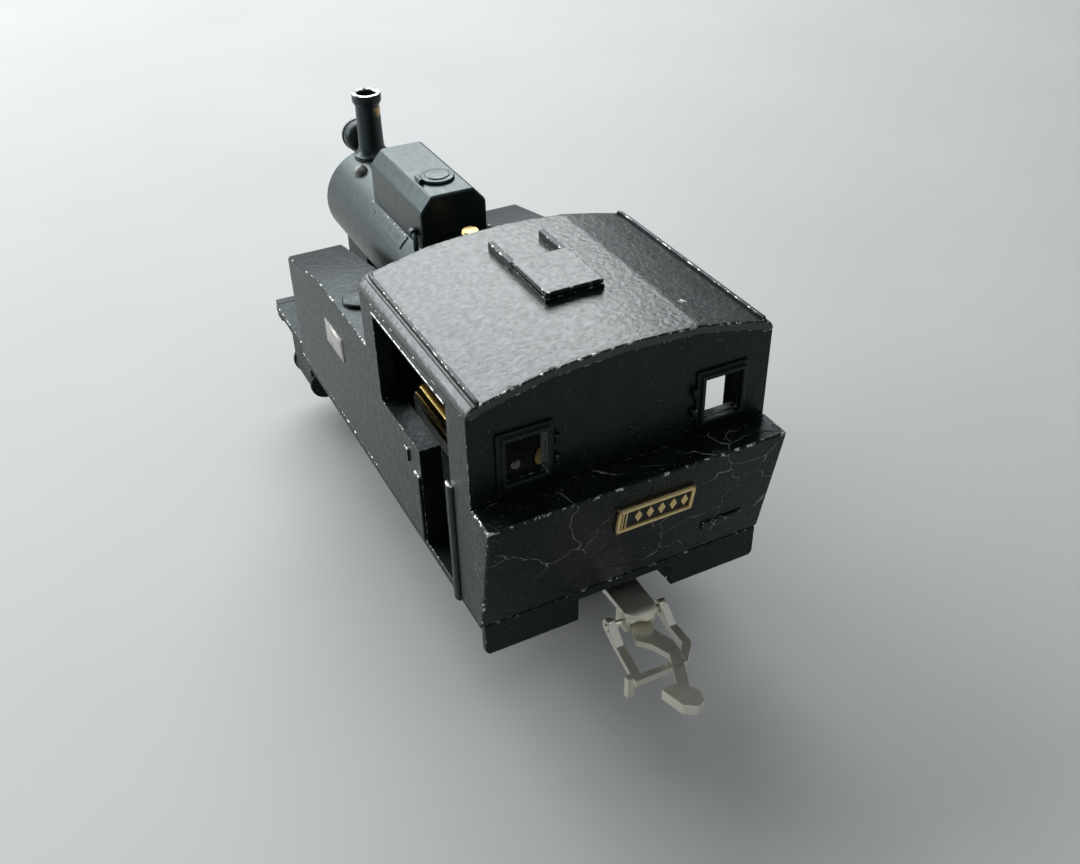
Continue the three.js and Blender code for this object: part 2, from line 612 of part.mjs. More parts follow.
// Each coupler is drawn reaching out along +X from its swing pin at the origin.
function couplerShank() {
  const { x, z, radius, right, left } = COUPLER_PIN;
  const { bottom, top } = SHANK_Z;
  const plate = alongZ([...arc(0, 0, 2.1, 90, 270, 12), [3.7, -1.6], [7.6, -1.6], [8.5, -0.6], [9.1, 0.3],
    [9.1, 1.0], [8.2, 1.7], [7.6, 2.0], [3.7, 2.1]], bottom, top);
  const overTip = [[7.2, top + 0.1], [9.3, top + 0.1], [9.3, bottom + 0.2], [8.4, top - 0.2]];
  const bentTip = alongY(overTip, -3, 3);
  const earSide = [[5.9, 8.9], [7.9, 8.9], [8.1, 10.4], [7.6, top - 0.1], [5.9, top - 0.1]];
  const ears = [alongY(earSide, -1.6, -1.1), alongY(earSide, 1.5, 2.0)];
  const pin = rod('y', radius, right, left, [x, 0, z], FLATS.pin);
  return cut(join(cut(plate, bentTip), ...ears, pin), rod('z', 0.88, 5, 15, [0, 0, 0]));
}

function couplerHook() {
  const { x, z, radius } = COUPLER_PIN;
  const { bottom, top } = HOOK_Z;
  const knuckle = rod('y', 0.95, -1.0, 1.4, [x, 0, z]);
  const leftEdge = [[17.9, -0.2], [13.5, 1.6], [11.8, 1.7], [9.9, 0.8], [x, 1.4]];
  const rightEdge = [[x, -1.0], [8.2, -1.0], [9.4, -1.5], [10.2, -1.7], [11.4, -0.6], [13.4, 0.3],
    [16.9, -1.1]];
  const head = [[17.0, -2.9], [19.6, -2.1], [COUPLER_REACH, -0.9], [20.1, 0.1], [18.7, 0.4]];
  const arm = alongZ([...rightEdge, ...head, ...leftEdge], bottom, top);
  const barb = alongZ(head, bottom - 0.5, bottom + 0.2);
  return cut(join(knuckle, arm, barb), rod('y', radius + 0.1, -5, 5, [x, 0, z], FLATS.pin));
}

// A flat strip bent to a square loop: its side view and its plan, where the two overlap.
function couplerLoop() {
  const { x, z, radius } = COUPLER_PIN;
  const { bottom, top } = LOOP_Z;
  const sideView = [[x - 0.6, z - 0.7], [8.9, bottom], [14.2, bottom], [14.2, top], [9.3, top],
    [x + 0.5, z + 0.85], [x - 0.6, z + 0.7]];
  const outside = [[6.3, -3.3], [9.2, -3.5], [13.5, -4.1], [14.2, -4.1], [14.2, 2.0], [12.2, 3.8],
    [6.3, 3.7]];
  const inside = [[6.3, 2.9], [11.8, 2.9], [13.5, 1.5], [13.5, -3.1], [9.2, -2.6], [6.3, -2.5]];
  const plan = [...outside, ...inside];
  const strip = overlapOf(alongY(sideView, -5, 5), alongZ(plan, 5, 15));
  const eyes = [rod('y', 0.95, -3.3, -2.5, [x, 0, z]), rod('y', 0.95, 2.9, 3.7, [x, 0, z])];
  const tail = box(13.0, 13.7, -4.7, -3.9, 6.2, top);
  return cut(join(strip, ...eyes, tail), rod('y', radius + 0.1, -5, 5, [x, 0, z], FLATS.pin));
}

// ---------------------------------------------------------------- assembly

add('footplate', footplate(), blackPaint);
add('rear_beam', beam(REAR_BEAM), blackPaint);
add('front_beam', beam(FRONT_BEAM), blackPaint);
add('coal_bunker', coalBunker(), blackPaint);
add('cab_shell', cabShell(), blackPaint);
add('cab_roof', cabRoof(), blackPaint);
add('roof_hatch', roofHatch(), blackPaint);
add('rear_number_plate', rearNumberPlate(), brass);
add('keeper_plate', keeperPlate(), blackPaint);

for (const [name, side] of SIDES) {
  add(`rear_window_frame_${name}`, rearWindowFrame(side), blackPaint);
  add(`${name}_side_tank`, sideTank(side), blackPaint);
  add(`${name}_tank_filler`, tankFiller(side), blackPaint);
  add(`${name}_frame_plate`, framePlate(side), blackPaint);
  add(`${name}_cylinder`, cylinderBlock(side), blackPaint);
  add(`${name}_slide_bar`, slideBar(side), steel);
  add(`${name}_crosshead`, crosshead(name, side), steel);
  add(`${name}_coupling_rod`, couplingRod(name, side), steel);
  add(`${name}_main_rod`, mainRod(name, side), steel);
}

add('boiler_barrel', boilerBarrel(), blackPaint);
add('smokebox', smokebox(), blackPaint);
add('smokebox_saddle', smokeboxSaddle(), blackPaint);
add('smokebox_door', smokeboxDoor(), blackPaint);
add('chimney', chimney(), blackPaint);
add('headlight', headlight(), blackPaint);
add('headlight_lens', headlightLens(), lampGlass);
add('dome_casing', domeCasing(), blackPaint);
add('dome_hatch', domeHatch(), blackPaint);
add('safety_valve', safetyValve(), brass);

const AXLES = [['rear', REAR_AXLE_X, MAIN_ROD.y1], ['front', FRONT_AXLE_X, COUPLING_ROD.y1]];

for (const [axleName, axleX, reach] of AXLES) {
  const wheelset = new THREE.Group();
  wheelset.position.set(axleX, 0, AXLE_Z);
  locomotive.add(wheelset);
  add(`${axleName}_axle`, rod('y', AXLE_RADIUS, -9.5, 9.5, [0, 0, 0]), steel, wheelset);
  for (const [name, side] of SIDES) {
    const [dx, dz] = CRANK_AT[name];
    const turnedWheel = add(`${axleName}_${name}_wheel`, wheel(side, reach + 0.26), steel, wheelset);
    turnedWheel.rotation.y = Math.atan2(-dz, dx);
  }
  if (axleName === 'front') add('worm_wheel', wormWheel(), brass, wheelset);
}

add('motor_case', motorCase(), brass);
add('motor_end_cap', motorEndCap(), blackPlastic);
add('motor_bracket', motorBracket(), brass);
add('motor_armature', armature(), laminations);
add('motor_pinion', spurGear(PINION_TEETH, -90, MOTOR.z, MOTOR.shaft + 0.02), brass);
add('worm_shaft', wormShaft(), steel);
add('shaft_gear', spurGear(SHAFT_GEAR_TEETH, 90 + 180 / SHAFT_GEAR_TEETH, WORM_Z, 0.62), brass);
add('worm_bracket', wormBracket(), brass);

for (const [name, turn] of [['rear', Math.PI], ['front', 0]]) {
  const coupler = new THREE.Group();
  coupler.rotation.z = turn;
  coupler.position.x = COUPLER_PIVOT_X * Math.cos(turn);
  locomotive.add(coupler);
  add(`${name}_coupler_pin`, couplerPin(), steel, coupler);
  add(`${name}_coupler_shank`, couplerShank(), nickel, coupler);
  add(`${name}_coupler_hook`, couplerHook(), nickel, coupler);
  add(`${name}_coupler_loop`, couplerLoop(), nickel, coupler);
}

export default locomotive;
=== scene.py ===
"""Looks for the model tank locomotive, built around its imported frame.

+X is forward, +Y is left, +Z is up. Shapes are drawn in millimetres and turned to metres by piece().
"""
import json
import math

import bmesh
import bpy
from mathutils import Matrix, Vector, noise


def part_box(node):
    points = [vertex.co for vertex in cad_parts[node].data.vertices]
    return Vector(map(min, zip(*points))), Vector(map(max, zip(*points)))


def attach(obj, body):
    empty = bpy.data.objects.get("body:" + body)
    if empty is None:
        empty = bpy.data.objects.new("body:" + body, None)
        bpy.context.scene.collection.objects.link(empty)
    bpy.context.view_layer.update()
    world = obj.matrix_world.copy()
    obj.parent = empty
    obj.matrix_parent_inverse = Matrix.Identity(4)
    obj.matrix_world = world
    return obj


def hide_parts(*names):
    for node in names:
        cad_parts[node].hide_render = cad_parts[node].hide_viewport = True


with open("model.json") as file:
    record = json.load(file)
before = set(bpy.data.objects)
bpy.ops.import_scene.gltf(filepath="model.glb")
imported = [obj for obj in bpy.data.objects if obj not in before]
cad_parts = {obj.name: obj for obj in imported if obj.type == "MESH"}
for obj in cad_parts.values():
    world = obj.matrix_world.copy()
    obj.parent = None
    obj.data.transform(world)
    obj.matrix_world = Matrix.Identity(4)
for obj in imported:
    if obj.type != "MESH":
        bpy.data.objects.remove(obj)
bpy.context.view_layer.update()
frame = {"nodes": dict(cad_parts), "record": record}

MM = 0.001
Y, Z = Vector((0, 1, 0)), Vector((0, 0, 1))
SIDES = (("left", 1), ("right", -1))
ENDS = (("rear", -1), ("front", 1))

# Dimensions in millimetres that several pieces share.
CAB_OPENING = (-31.4, -12.5)                 # rear and front ends of the open cab side
BUNKER_TOP_X, BUNKER_TOP_Z = -40.0, 28.5     # top and foot of the bunker's sloping back
BUNKER_FOOT_X, BUNKER_FOOT_Z = -37.1, 14.2
BOILER_Z, BOILER_RADIUS, BOILER_SKIN = 29.0, 6.5, 0.8
HEADLIGHT_Z = 36.3
MOTOR_Z, MOTOR_RADIUS = 18.4, 7.8
CYLINDER_Y = 12.9
COUPLER_PIVOT_X = 32
FACE = 10.05                                 # outer face of a wheel
WHEEL_WIDTH = 2.8
TREAD_RADIUS, FLANGE_RADIUS = 5.375, 6.375
CRANK_THROW = 2.5
CRANK = {"left": 0.0, "right": -90.0}        # degrees each side's cranks are turned at rest
BODY = "chassis"
PAINT = "black_paint"


def corners(node):
    """Lowest and highest corner of a CAD node, in millimetres."""
    low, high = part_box(node)
    return low / MM, high / MM


def centre(node):
    low, high = corners(node)
    return (low + high) / 2


# ---------------------------------------------------------------- materials

class Shader:
    """A Principled material whose patterns are measured in millimetres on the object itself."""

    def __init__(self, name, colour, roughness, metallic=0.0, **sockets):
        self.material = bpy.data.materials.new(name)
        self.material.use_nodes = True
        self.tree = self.material.node_tree
        self.tree.nodes.clear()
        self.out = self.add("ShaderNodeOutputMaterial")
        self.bsdf = self.add("ShaderNodeBsdfPrincipled")
        self.link(self.bsdf.outputs[0], self.out.inputs[0])
        self.bsdf.inputs["Base Color"].default_value = (*colour, 1)
        self.bsdf.inputs["Roughness"].default_value = roughness
        self.bsdf.inputs["Metallic"].default_value = metallic
        for socket, value in sockets.items():
            title = socket.replace("_", " ").title().replace("Ior", "IOR")
            self.bsdf.inputs[title].default_value = value
        place = self.add("ShaderNodeTexCoord")
        scale = self.add("ShaderNodeVectorMath", operation="SCALE")
        scale.inputs["Scale"].default_value = 1 / MM
        self.link(place.outputs["Object"], scale.inputs[0])
        self.place = scale.outputs[0]

    def add(self, kind, **settings):
        node = self.tree.nodes.new(kind)
        for key, value in settings.items():
            setattr(node, key, value)
        return node

    def link(self, source, target):
        self.tree.links.new(source, target)

    def put(self, value, target):
        if isinstance(value, bpy.types.NodeSocket):
            self.link(value, target)
        elif isinstance(value, (tuple, list)) and len(value) == 3 and target.type == "RGBA":
            target.default_value = (*value, 1)
        else:
            target.default_value = value

    def stretched(self, factors):
        node = self.add("ShaderNodeVectorMath", operation="MULTIPLY")
        self.link(self.place, node.inputs[0])
        node.inputs[1].default_value = factors
        return node.outputs[0]

    def noise(self, scale, detail=3.0, roughness=0.55, distortion=0.0, vector=None, output="Fac"):
        node = self.add("ShaderNodeTexNoise")
        self.link(vector or self.place, node.inputs["Vector"])
        node.inputs["Scale"].default_value = scale
        node.inputs["Detail"].default_value = detail
        node.inputs["Roughness"].default_value = roughness
        node.inputs["Distortion"].default_value = distortion
        return node.outputs[output]

    def warped(self, amount, scale):
        wobble = self.add("ShaderNodeVectorMath", operation="MULTIPLY_ADD")
        self.link(self.noise(scale, 2.0, output="Color"), wobble.inputs[0])
        wobble.inputs[1].default_value = (amount,) * 3
        self.link(self.place, wobble.inputs[2])
        return wobble.outputs[0]

    def cells(self, scale, feature="F1", vector=None):
        node = self.add("ShaderNodeTexVoronoi", feature=feature)
        self.link(vector or self.place, node.inputs["Vector"])
        node.inputs["Scale"].default_value = scale
        return node.outputs["Distance"]

    def ramp(self, value, low, high, to_low=0.0, to_high=1.0):
        node = self.add("ShaderNodeMapRange", clamp=True)
        for index, number in enumerate((value, low, high, to_low, to_high)):
            self.put(number, node.inputs[index])
        return node.outputs[0]

    def maths(self, operation, a, b=0.0):
        node = self.add("ShaderNodeMath", operation=operation, use_clamp=True)
        self.put(a, node.inputs[0])
        self.put(b, node.inputs[1])
        return node.outputs[0]

    def mix(self, amount, a, b):
        node = self.add("ShaderNodeMix", data_type="RGBA")
        self.put(amount, node.inputs[0])
        self.put(a, node.inputs[6])
        self.put(b, node.inputs[7])
        return node.outputs[2]

    def bump(self, *layers):
        """Layers of (height, depth in millimetres), one over the other."""
        normal = None
        for height, depth in layers:
            node = self.add("ShaderNodeBump")
            node.inputs["Strength"].default_value = 1.0
            node.inputs["Distance"].default_value = depth * MM
            self.link(height, node.inputs["Height"])
            if normal is not None:
                self.link(normal, node.inputs["Normal"])
            normal = node.outputs[0]
        self.link(normal, self.bsdf.inputs["Normal"])

    def near(self, point, radius):
        """1 at a point in millimetres, fading to 0 at a radius."""
        gap = self.add("ShaderNodeVectorMath", operation="DISTANCE")
        self.link(self.place, gap.inputs[0])
        gap.inputs[1].default_value = point
        return self.ramp(gap.outputs["Value"], radius * 0.45, radius, 1.0, 0.0)

    def set(self, **sockets):
        for socket, value in sockets.items():
            self.put(value, self.bsdf.inputs[socket.replace("_", " ").title()])


PAINT_DARK = (0.0036, 0.0052, 0.0054)
PAINT_LIGHT = (0.0085, 0.0115, 0.0112)
NEUTRAL = (0.94, 0.98, 1.0)
BARE_METAL = (0.6, 0.59, 0.53)
DUST = (0.4, 0.4, 0.37)


def black_paint(name, leather=0.02, wear=0.0, cracks=0.0, dust=1.0, gloss=0.36, rub=None, cell=1.25,
                shine=0.3, tint=(0.74, 0.96, 1.0)):
    """Old semi-gloss black enamel: leathery skin, dust specks, bare metal where it has worn or cracked."""
    s = Shader(name, PAINT_DARK, gloss, specular_ior_level=shine, specular_tint=(*tint, 1))
    cloudy = s.noise(0.35, 3.0)
    colour = s.mix(s.ramp(cloudy, 0.4, 0.8), PAINT_DARK, PAINT_LIGHT)
    specks = s.maths("MULTIPLY", s.ramp(s.cells(1.3), 0.05, 0.085, 1.0, 0.0),
                     s.ramp(s.noise(0.5, 2.0), 0.56, 0.62))
    fine = s.maths("MULTIPLY", s.ramp(s.cells(3.4), 0.09, 0.14, 1.0, 0.0),
                   s.ramp(s.noise(1.1, 2.0), 0.57, 0.63))
    dusty = s.maths("MULTIPLY", s.maths("MAXIMUM", specks, fine), dust)
    colour = s.mix(dusty, colour, DUST)
    grain = s.cells(cell, "SMOOTH_F1", s.warped(1.1, 0.9))
    layers = [(grain, leather * 3), (s.noise(3.2, 4.0, 0.6), leather * 1.6)]
    bare = None
    if cracks:
        lines = s.cells(0.16, "DISTANCE_TO_EDGE", s.warped(5.0, 0.22))
        line = s.ramp(lines, 0.003, 0.008, 1.0, 0.0)
        line = s.maths("MULTIPLY", line, s.ramp(s.noise(0.11, 1.0), 0.5, 0.58))
        line = s.maths("MULTIPLY", line, s.ramp(s.noise(1.6, 2.0), 0.36, 0.5, 0.25, 1.0))
        bare = s.maths("MULTIPLY", line, cracks)
        layers.append((s.ramp(lines, 0.0, 0.02), 0.05))
    if wear:
        edge = s.ramp(s.noise(1.5, 4.0, 0.65), 0.62 - wear * 0.3, 0.68 - wear * 0.3)
        bare = edge if bare is None else s.maths("MAXIMUM", bare, edge)
    if bare is not None:
        colour = s.mix(bare, colour, BARE_METAL)
        s.set(metallic=s.maths("MULTIPLY", bare, 0.85))
    if rub:
        point, radius, metal = rub
        patch = s.maths("MULTIPLY", s.near(point, radius), s.ramp(s.noise(1.4, 4.0), 0.42, 0.5))
        colour = s.mix(patch, colour, metal)
        s.set(metallic=patch)
    rough = s.ramp(s.noise(1.6, 4.0), 0.3, 0.72, gloss - 0.05, gloss + 0.08)
    s.set(base_color=colour, roughness=s.maths("ADD", rough, s.maths("MULTIPLY", dusty, 0.4)))
    s.bump(*layers)
    return s.material


def metal(name, colour, roughness, tarnish, grain=0.004, stretch=(1, 1, 1), spread=0.45):
    """Bare metal with cloudy tarnish, fine scratches along one direction and a slightly uneven face."""
    s = Shader(name, colour, roughness, 1.0)
    stain = s.ramp(s.noise(0.6, 5.0, 0.6), 0.5 - spread / 2, 0.5 + spread / 2)
    scratches = s.noise(4.0, 3.0, 0.7, vector=s.stretched(stretch))
    s.set(base_color=s.mix(stain, colour, tarnish),
          roughness=s.maths("ADD", s.ramp(stain, 0, 1, roughness, roughness + 0.16),
                            s.ramp(scratches, 0.4, 0.7, 0.0, 0.08)))
    s.bump((scratches, grain), (s.noise(1.1, 2.0), grain * 4))
    return s.material


def moulded(name, colour, roughness, grain=0.01):
    s = Shader(name, colour, roughness)
    lighter = tuple(min(1.0, c * 1.7 + 0.004) for c in colour)
    s.set(base_color=s.mix(s.ramp(s.noise(0.8, 3.0), 0.4, 0.7), colour, lighter),
          roughness=s.ramp(s.noise(2.2, 3.0), 0.3, 0.7, roughness - 0.08, roughness + 0.1))
    s.bump((s.noise(5.0, 3.0), grain))
    return s.material


def lamp_glass(name):
    s = Shader(name, (0.93, 0.92, 0.86), 0.06, transmission_weight=0.75, ior=1.5)
    s.set(roughness=s.ramp(s.noise(1.5, 2.0), 0.3, 0.7, 0.04, 0.12))
    s.bump((s.noise(1.2, 2.0), 0.01))
    return s.material


paint = {
    "body": black_paint("body_paint", leather=0.012),
    "roof": black_paint("roof_paint", leather=0.013, gloss=0.36, cell=1.7, shine=0.82, tint=NEUTRAL,
                        rub=((-31.0, -9.0, 41.1), 0.55, (0.75, 0.76, 0.74))),
    "bunker": black_paint("bunker_paint", leather=0.008, cracks=0.6, gloss=0.3, dust=1.8, shine=0.22),
    "boiler": black_paint("boiler_paint", leather=0.004, gloss=0.34, dust=0.25, shine=0.6),
    "edge": black_paint("worn_edge", leather=0.01, wear=0.24),
    "rubbed_edge": black_paint("rubbed_edge", leather=0.01, wear=0.7),
    "dull_edge": black_paint("dull_edge", leather=0.01, wear=0.18),
    "chassis": black_paint("chassis_paint", leather=0.008, gloss=0.48, dust=0.6, shine=0.3),
    "chimney": black_paint("chimney_paint", leather=0.008, gloss=0.38, shine=0.6,
                           rub=((31.1, -1.2, 41.9), 1.3, (0.62, 0.42, 0.16))),
}
brass = metal("brass", (0.76, 0.55, 0.22), 0.24, (0.5, 0.34, 0.13))
gold_case = metal("motor_gold", (0.94, 0.74, 0.3), 0.3, (0.78, 0.57, 0.2), stretch=(0.15, 2, 2))
steel = metal("steel", (0.56, 0.55, 0.52), 0.28, (0.33, 0.32, 0.3), stretch=(0.2, 1, 2))
nickel = metal("nickel", (0.97, 0.94, 0.84), 0.3, (0.9, 0.86, 0.74), grain=0.0002, spread=0.9)
plate_brass = metal("plate_brass", (1.0, 0.82, 0.45), 0.42, (0.9, 0.7, 0.34), grain=0.001)
black_plastic = moulded("black_plastic", (0.014, 0.014, 0.015), 0.5)
dark_core = metal("laminations", (0.3, 0.27, 0.24), 0.4, (0.16, 0.13, 0.1), stretch=(6, 0.4, 0.4))
copper = metal("copper_wire", (0.72, 0.32, 0.16), 0.3, (0.45, 0.18, 0.09), stretch=(0.4, 3, 3))
lens_glass = lamp_glass("lamp_lens")
plate_field = black_paint("plate_field", leather=0.01, dust=0.3, gloss=0.4)
wheel_centre = metal("wheel_centre", (0.3, 0.29, 0.27), 0.42, (0.16, 0.155, 0.15), grain=0.01)

slot_names = {part["node"]: part["material_slot"] for part in frame["record"]["subparts"]}

# ---------------------------------------------------------------- mesh tools

def piece(name, bm, *materials):
    """A mesh object in metres from a bmesh in millimetres."""
    bmesh.ops.scale(bm, vec=(MM, MM, MM), verts=bm.verts)
    bmesh.ops.recalc_face_normals(bm, faces=bm.faces)
    mesh = bpy.data.meshes.new(name)
    bm.to_mesh(mesh)
    bm.free()
    for material in materials:
        mesh.materials.append(material)
    obj = bpy.data.objects.new(name, mesh)
    bpy.context.scene.collection.objects.link(obj)
    return obj


def settle(obj, body, slot, *nodes, sharp=38):
    """Smooths a finished piece, puts it on its body and hides the CAD nodes it stands for; the slot
    argument is not used.
    """
    obj.data.polygons.foreach_set("use_smooth", [True] * len(obj.data.polygons))
    obj.data.set_sharp_from_angle(angle=math.radians(sharp))
    weigh = obj.modifiers.new("normals", "WEIGHTED_NORMAL")
    weigh.keep_sharp = True
    graph = bpy.context.evaluated_depsgraph_get()
    mesh = bpy.data.meshes.new_from_object(obj.evaluated_get(graph), depsgraph=graph)
    obj.modifiers.clear()
    obj.data = mesh
    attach(obj, body)
    if nodes:
        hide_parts(*nodes)


def round_edges(bm, width, steps=2, over=33):
    """Rounds every edge sharper than an angle; the new faces take material 1."""
    edges = [e for e in bm.edges if len(e.link_faces) == 2 and e.calc_face_angle(0) > math.radians(over)]
    if edges and width:
        bmesh.ops.bevel(bm, geom=edges, offset=width, offset_type="OFFSET", segments=steps, profile=0.5,
                        affect="EDGES", clamp_overlap=True, material=1)
    return bm


def cad_copy(node):
    """A CAD node's mesh in millimetres, with its flat faces made whole."""
    bm = bmesh.new()
    bm.from_mesh(frame["nodes"][node].data)
    bmesh.ops.scale(bm, vec=(1 / MM,) * 3, verts=bm.verts)
    bmesh.ops.remove_doubles(bm, verts=bm.verts, dist=0.002)
    bmesh.ops.dissolve_limit(bm, angle_limit=math.radians(0.6), verts=bm.verts, edges=bm.edges)
    for face in bm.faces:
        face.material_index = 0
    return bm


def softened(node, width, body, slot, *materials, steps=2, over=33):
    """Stands in for a CAD node with its edges rounded and worn."""
    bm = round_edges(cad_copy(node), width, steps, over)
    settle(piece(node + "_skin", bm, *materials), body, slot, node)


def prism(outline, axis, low, high):
    """An outline carried along an axis: [y, z] along X, [x, z] along Y, [x, y] along Z."""
    places = {"x": lambda a, b, t: (t, a, b),
              "y": lambda a, b, t: (a, t, b),
              "z": lambda a, b, t: (a, b, t)}
    place = places[axis]
    bm = bmesh.new()
    rings = [[bm.verts.new(place(a, b, t)) for a, b in outline] for t in (low, high)]
    bm.faces.new(rings[0])
    bm.faces.new(rings[1])
    for i in range(len(outline)):
        j = (i + 1) % len(outline)
        bm.faces.new((rings[0][i], rings[0][j], rings[1][j], rings[1][i]))
    bmesh.ops.recalc_face_normals(bm, faces=bm.faces)
    return bm


def block(low, high):
    (x0, y0, z0), (x1, y1, z1) = low, high
    return prism([(x0, y0), (x1, y0), (x1, y1), (x0, y1)], "z", z0, z1)


AXIS_TURN = {"x": Matrix.Rotation(math.radians(90), 4, "Y"), "z": Matrix.Identity(4),
             "y": Matrix.Rotation(math.radians(-90), 4, "X")}


def turned(profile, axis, centre_point, steps=64, start=0.0, sweep=360.0, seal=True):
    """[radius, along] points turned about an axis.

    A profile that stays clear of the axis is joined up into a ring unless seal is False.
    """
    bm = bmesh.new()
    whole = abs(sweep - 360.0) < 1e-6
    count = steps if whole else steps + 1
    rings = []
    for radius, along in profile:
        if radius < 1e-6:
            rings.append([bm.verts.new((0, 0, along))])
            continue
        ring = []
        for i in range(count):
            angle = math.radians(start + sweep * i / steps)
            ring.append(bm.verts.new((radius * math.cos(angle), radius * math.sin(angle), along)))
        rings.append(ring)
    closed = seal and min(radius for radius, _ in profile) > 1e-6
    pairs = list(zip(rings, rings[1:] + rings[:1])) if closed else list(zip(rings, rings[1:]))
    for one, two in pairs:
        for i in range(steps):
            j = (i + 1) % count
            ends = [one[i % len(one)], one[j % len(one)], two[j % len(two)], two[i % len(two)]]
            unique = list(dict.fromkeys(ends))
            if len(unique) > 2:
                bm.faces.new(unique)
    if not whole:
        bm.faces.new([ring[0] for ring in rings])
        bm.faces.new([ring[-1] for ring in rings])
    bmesh.ops.transform(bm, matrix=Matrix.Translation(centre_point) @ AXIS_TURN[axis], verts=bm.verts)
    bmesh.ops.recalc_face_normals(bm, faces=bm.faces)
    return bm


def swept(section, path, up=Z):
    """A flat section carried along an open path, kept upright, with its ends closed."""
    bm = bmesh.new()
    points = [Vector(p) for p in path]
    rings = []
    for i, point in enumerate(points):
        before = points[i - 1] if i else point
        after = points[i + 1] if i + 1 < len(points) else point
        forward = (after - before).normalized()
        across = up.cross(forward)
        if across.length < 1e-6:
            across = Y.copy()
        across.normalize()
        over = forward.cross(across)
        rings.append([bm.verts.new(point + across * a + over * b) for a, b in section])
    bm.faces.new(rings[0])
    bm.faces.new(rings[-1])
    for one, two in zip(rings, rings[1:]):
        for i in range(len(section)):
            j = (i + 1) % len(section)
            bm.faces.new((one[i], one[j], two[j], two[i]))
    bmesh.ops.recalc_face_normals(bm, faces=bm.faces)
    return bm


def merged(*parts):
    """Several bmeshes as one."""
    whole = bmesh.new()
    for part in parts:
        mesh = bpy.data.meshes.new("part")
        part.to_mesh(mesh)
        part.free()
        whole.from_mesh(mesh)
        bpy.data.meshes.remove(mesh)
    return whole


def arc(cx, cy, radius, start, end, steps):
    angles = [math.radians(start + (end - start) * i / steps) for i in range(steps + 1)]
    return [(cx + radius * math.cos(angle), cy + radius * math.sin(angle)) for angle in angles]


def circle(radius, steps=12):
    return arc(0, 0, radius, 0, 360 * (steps - 1) / steps, steps - 1)


def eased_corners(points, radius, steps=4):
    """The inner corners of an open line, each eased by a short curve."""
    result = []
    for corner in zip(points, points[1:], points[2:]):
        before, here, after = (Vector(point) for point in corner)
        reach = min(radius, (before - here).length * 0.48, (after - here).length * 0.48)
        start = here + (before - here).normalized() * reach
        end = here + (after - here).normalized() * reach
        for k in range(steps + 1):
            t = k / steps
            result.append(tuple(start * (1 - t) ** 2 + here * 2 * t * (1 - t) + end * t * t))
    return result


def flip(bm, side):
    if side < 0:
        bmesh.ops.scale(bm, vec=(1, -1, 1), verts=bm.verts)
        bmesh.ops.recalc_face_normals(bm, faces=bm.faces)
    return bm


# ---------------------------------------------------------------- camera, light and floor

TARGET = Vector((-20.1, 1.2, 22.0)) * MM
DISTANCE = 126 * MM
HEADING, DOWN, ROLL = (math.radians(a) for a in (-26.43, 35.84, -1.21))
LENS = 38.11

level = math.cos(DOWN)
forward = Vector((level * math.cos(HEADING), level * math.sin(HEADING), -math.sin(DOWN)))
right = forward.cross(Z).normalized()
overhead = right.cross(forward)
camera_right = right * math.cos(ROLL) + overhead * math.sin(ROLL)
camera_up = overhead * math.cos(ROLL) - right * math.sin(ROLL)
camera_data = bpy.data.cameras.new("camera")
camera_data.lens = LENS
camera_data.clip_start = 1 * MM
camera_object = bpy.data.objects.new("camera", camera_data)
camera_object.matrix_world = Matrix.Translation(TARGET - forward * DISTANCE) @ Matrix(
    (camera_right, camera_up, -forward)).transposed().to_4x4()
bpy.context.scene.collection.objects.link(camera_object)
bpy.context.scene.camera = camera_object


def softbox(name, heading, elevation, distance, width, height, power, colour=(1, 1, 1)):
    """A rectangular soft light that looks at the middle of the object."""
    aim = Vector((0, 0, 20)) * MM
    a, e = math.radians(heading), math.radians(elevation)
    direction = Vector((math.cos(e) * math.cos(a), math.cos(e) * math.sin(a), math.sin(e)))
    data = bpy.data.lights.new(name, "AREA")
    data.shape = "RECTANGLE"
    data.size = width
    data.size_y = height
    data.energy = power
    data.color = colour
    lamp = bpy.data.objects.new(name, data)
    lamp.location = aim + direction * distance
    lamp.rotation_euler = direction.to_track_quat("Z", "Y").to_euler()
    bpy.context.scene.collection.objects.link(lamp)


softbox("key", 4, 39, 0.75, 1.1, 0.4, 9.5, (0.97, 1.0, 1.0))
softbox("side", 48, 18, 0.75, 0.35, 0.3, 2.6, (0.97, 1.0, 1.0))
softbox("top", 200, 78, 0.8, 0.5, 0.5, 0.8)
softbox("fill", 185, 28, 0.9, 0.5, 0.5, 0.25, (0.93, 0.96, 1.0))

world = bpy.data.worlds.new("studio")
world.use_nodes = True
world.node_tree.nodes["Background"].inputs[0].default_value = (0.86, 0.96, 1.0, 1)
world.node_tree.nodes["Background"].inputs[1].default_value = 0.19
bpy.context.scene.world = world
bpy.context.scene.view_settings.view_transform = "Standard"

floor_shader = Shader("pale_floor", (0.44, 0.44, 0.44), 0.6)
FLOOR_DARK, FLOOR_LIGHT = (0.41, 0.41, 0.41), (0.47, 0.47, 0.47)
floor_shader.set(base_color=floor_shader.mix(floor_shader.noise(0.02, 3.0), FLOOR_DARK, FLOOR_LIGHT))
floor = piece("floor", block((-900, -900, -6), (900, 900, 0)), floor_shader.material)

# ---------------------------------------------------------------- cab

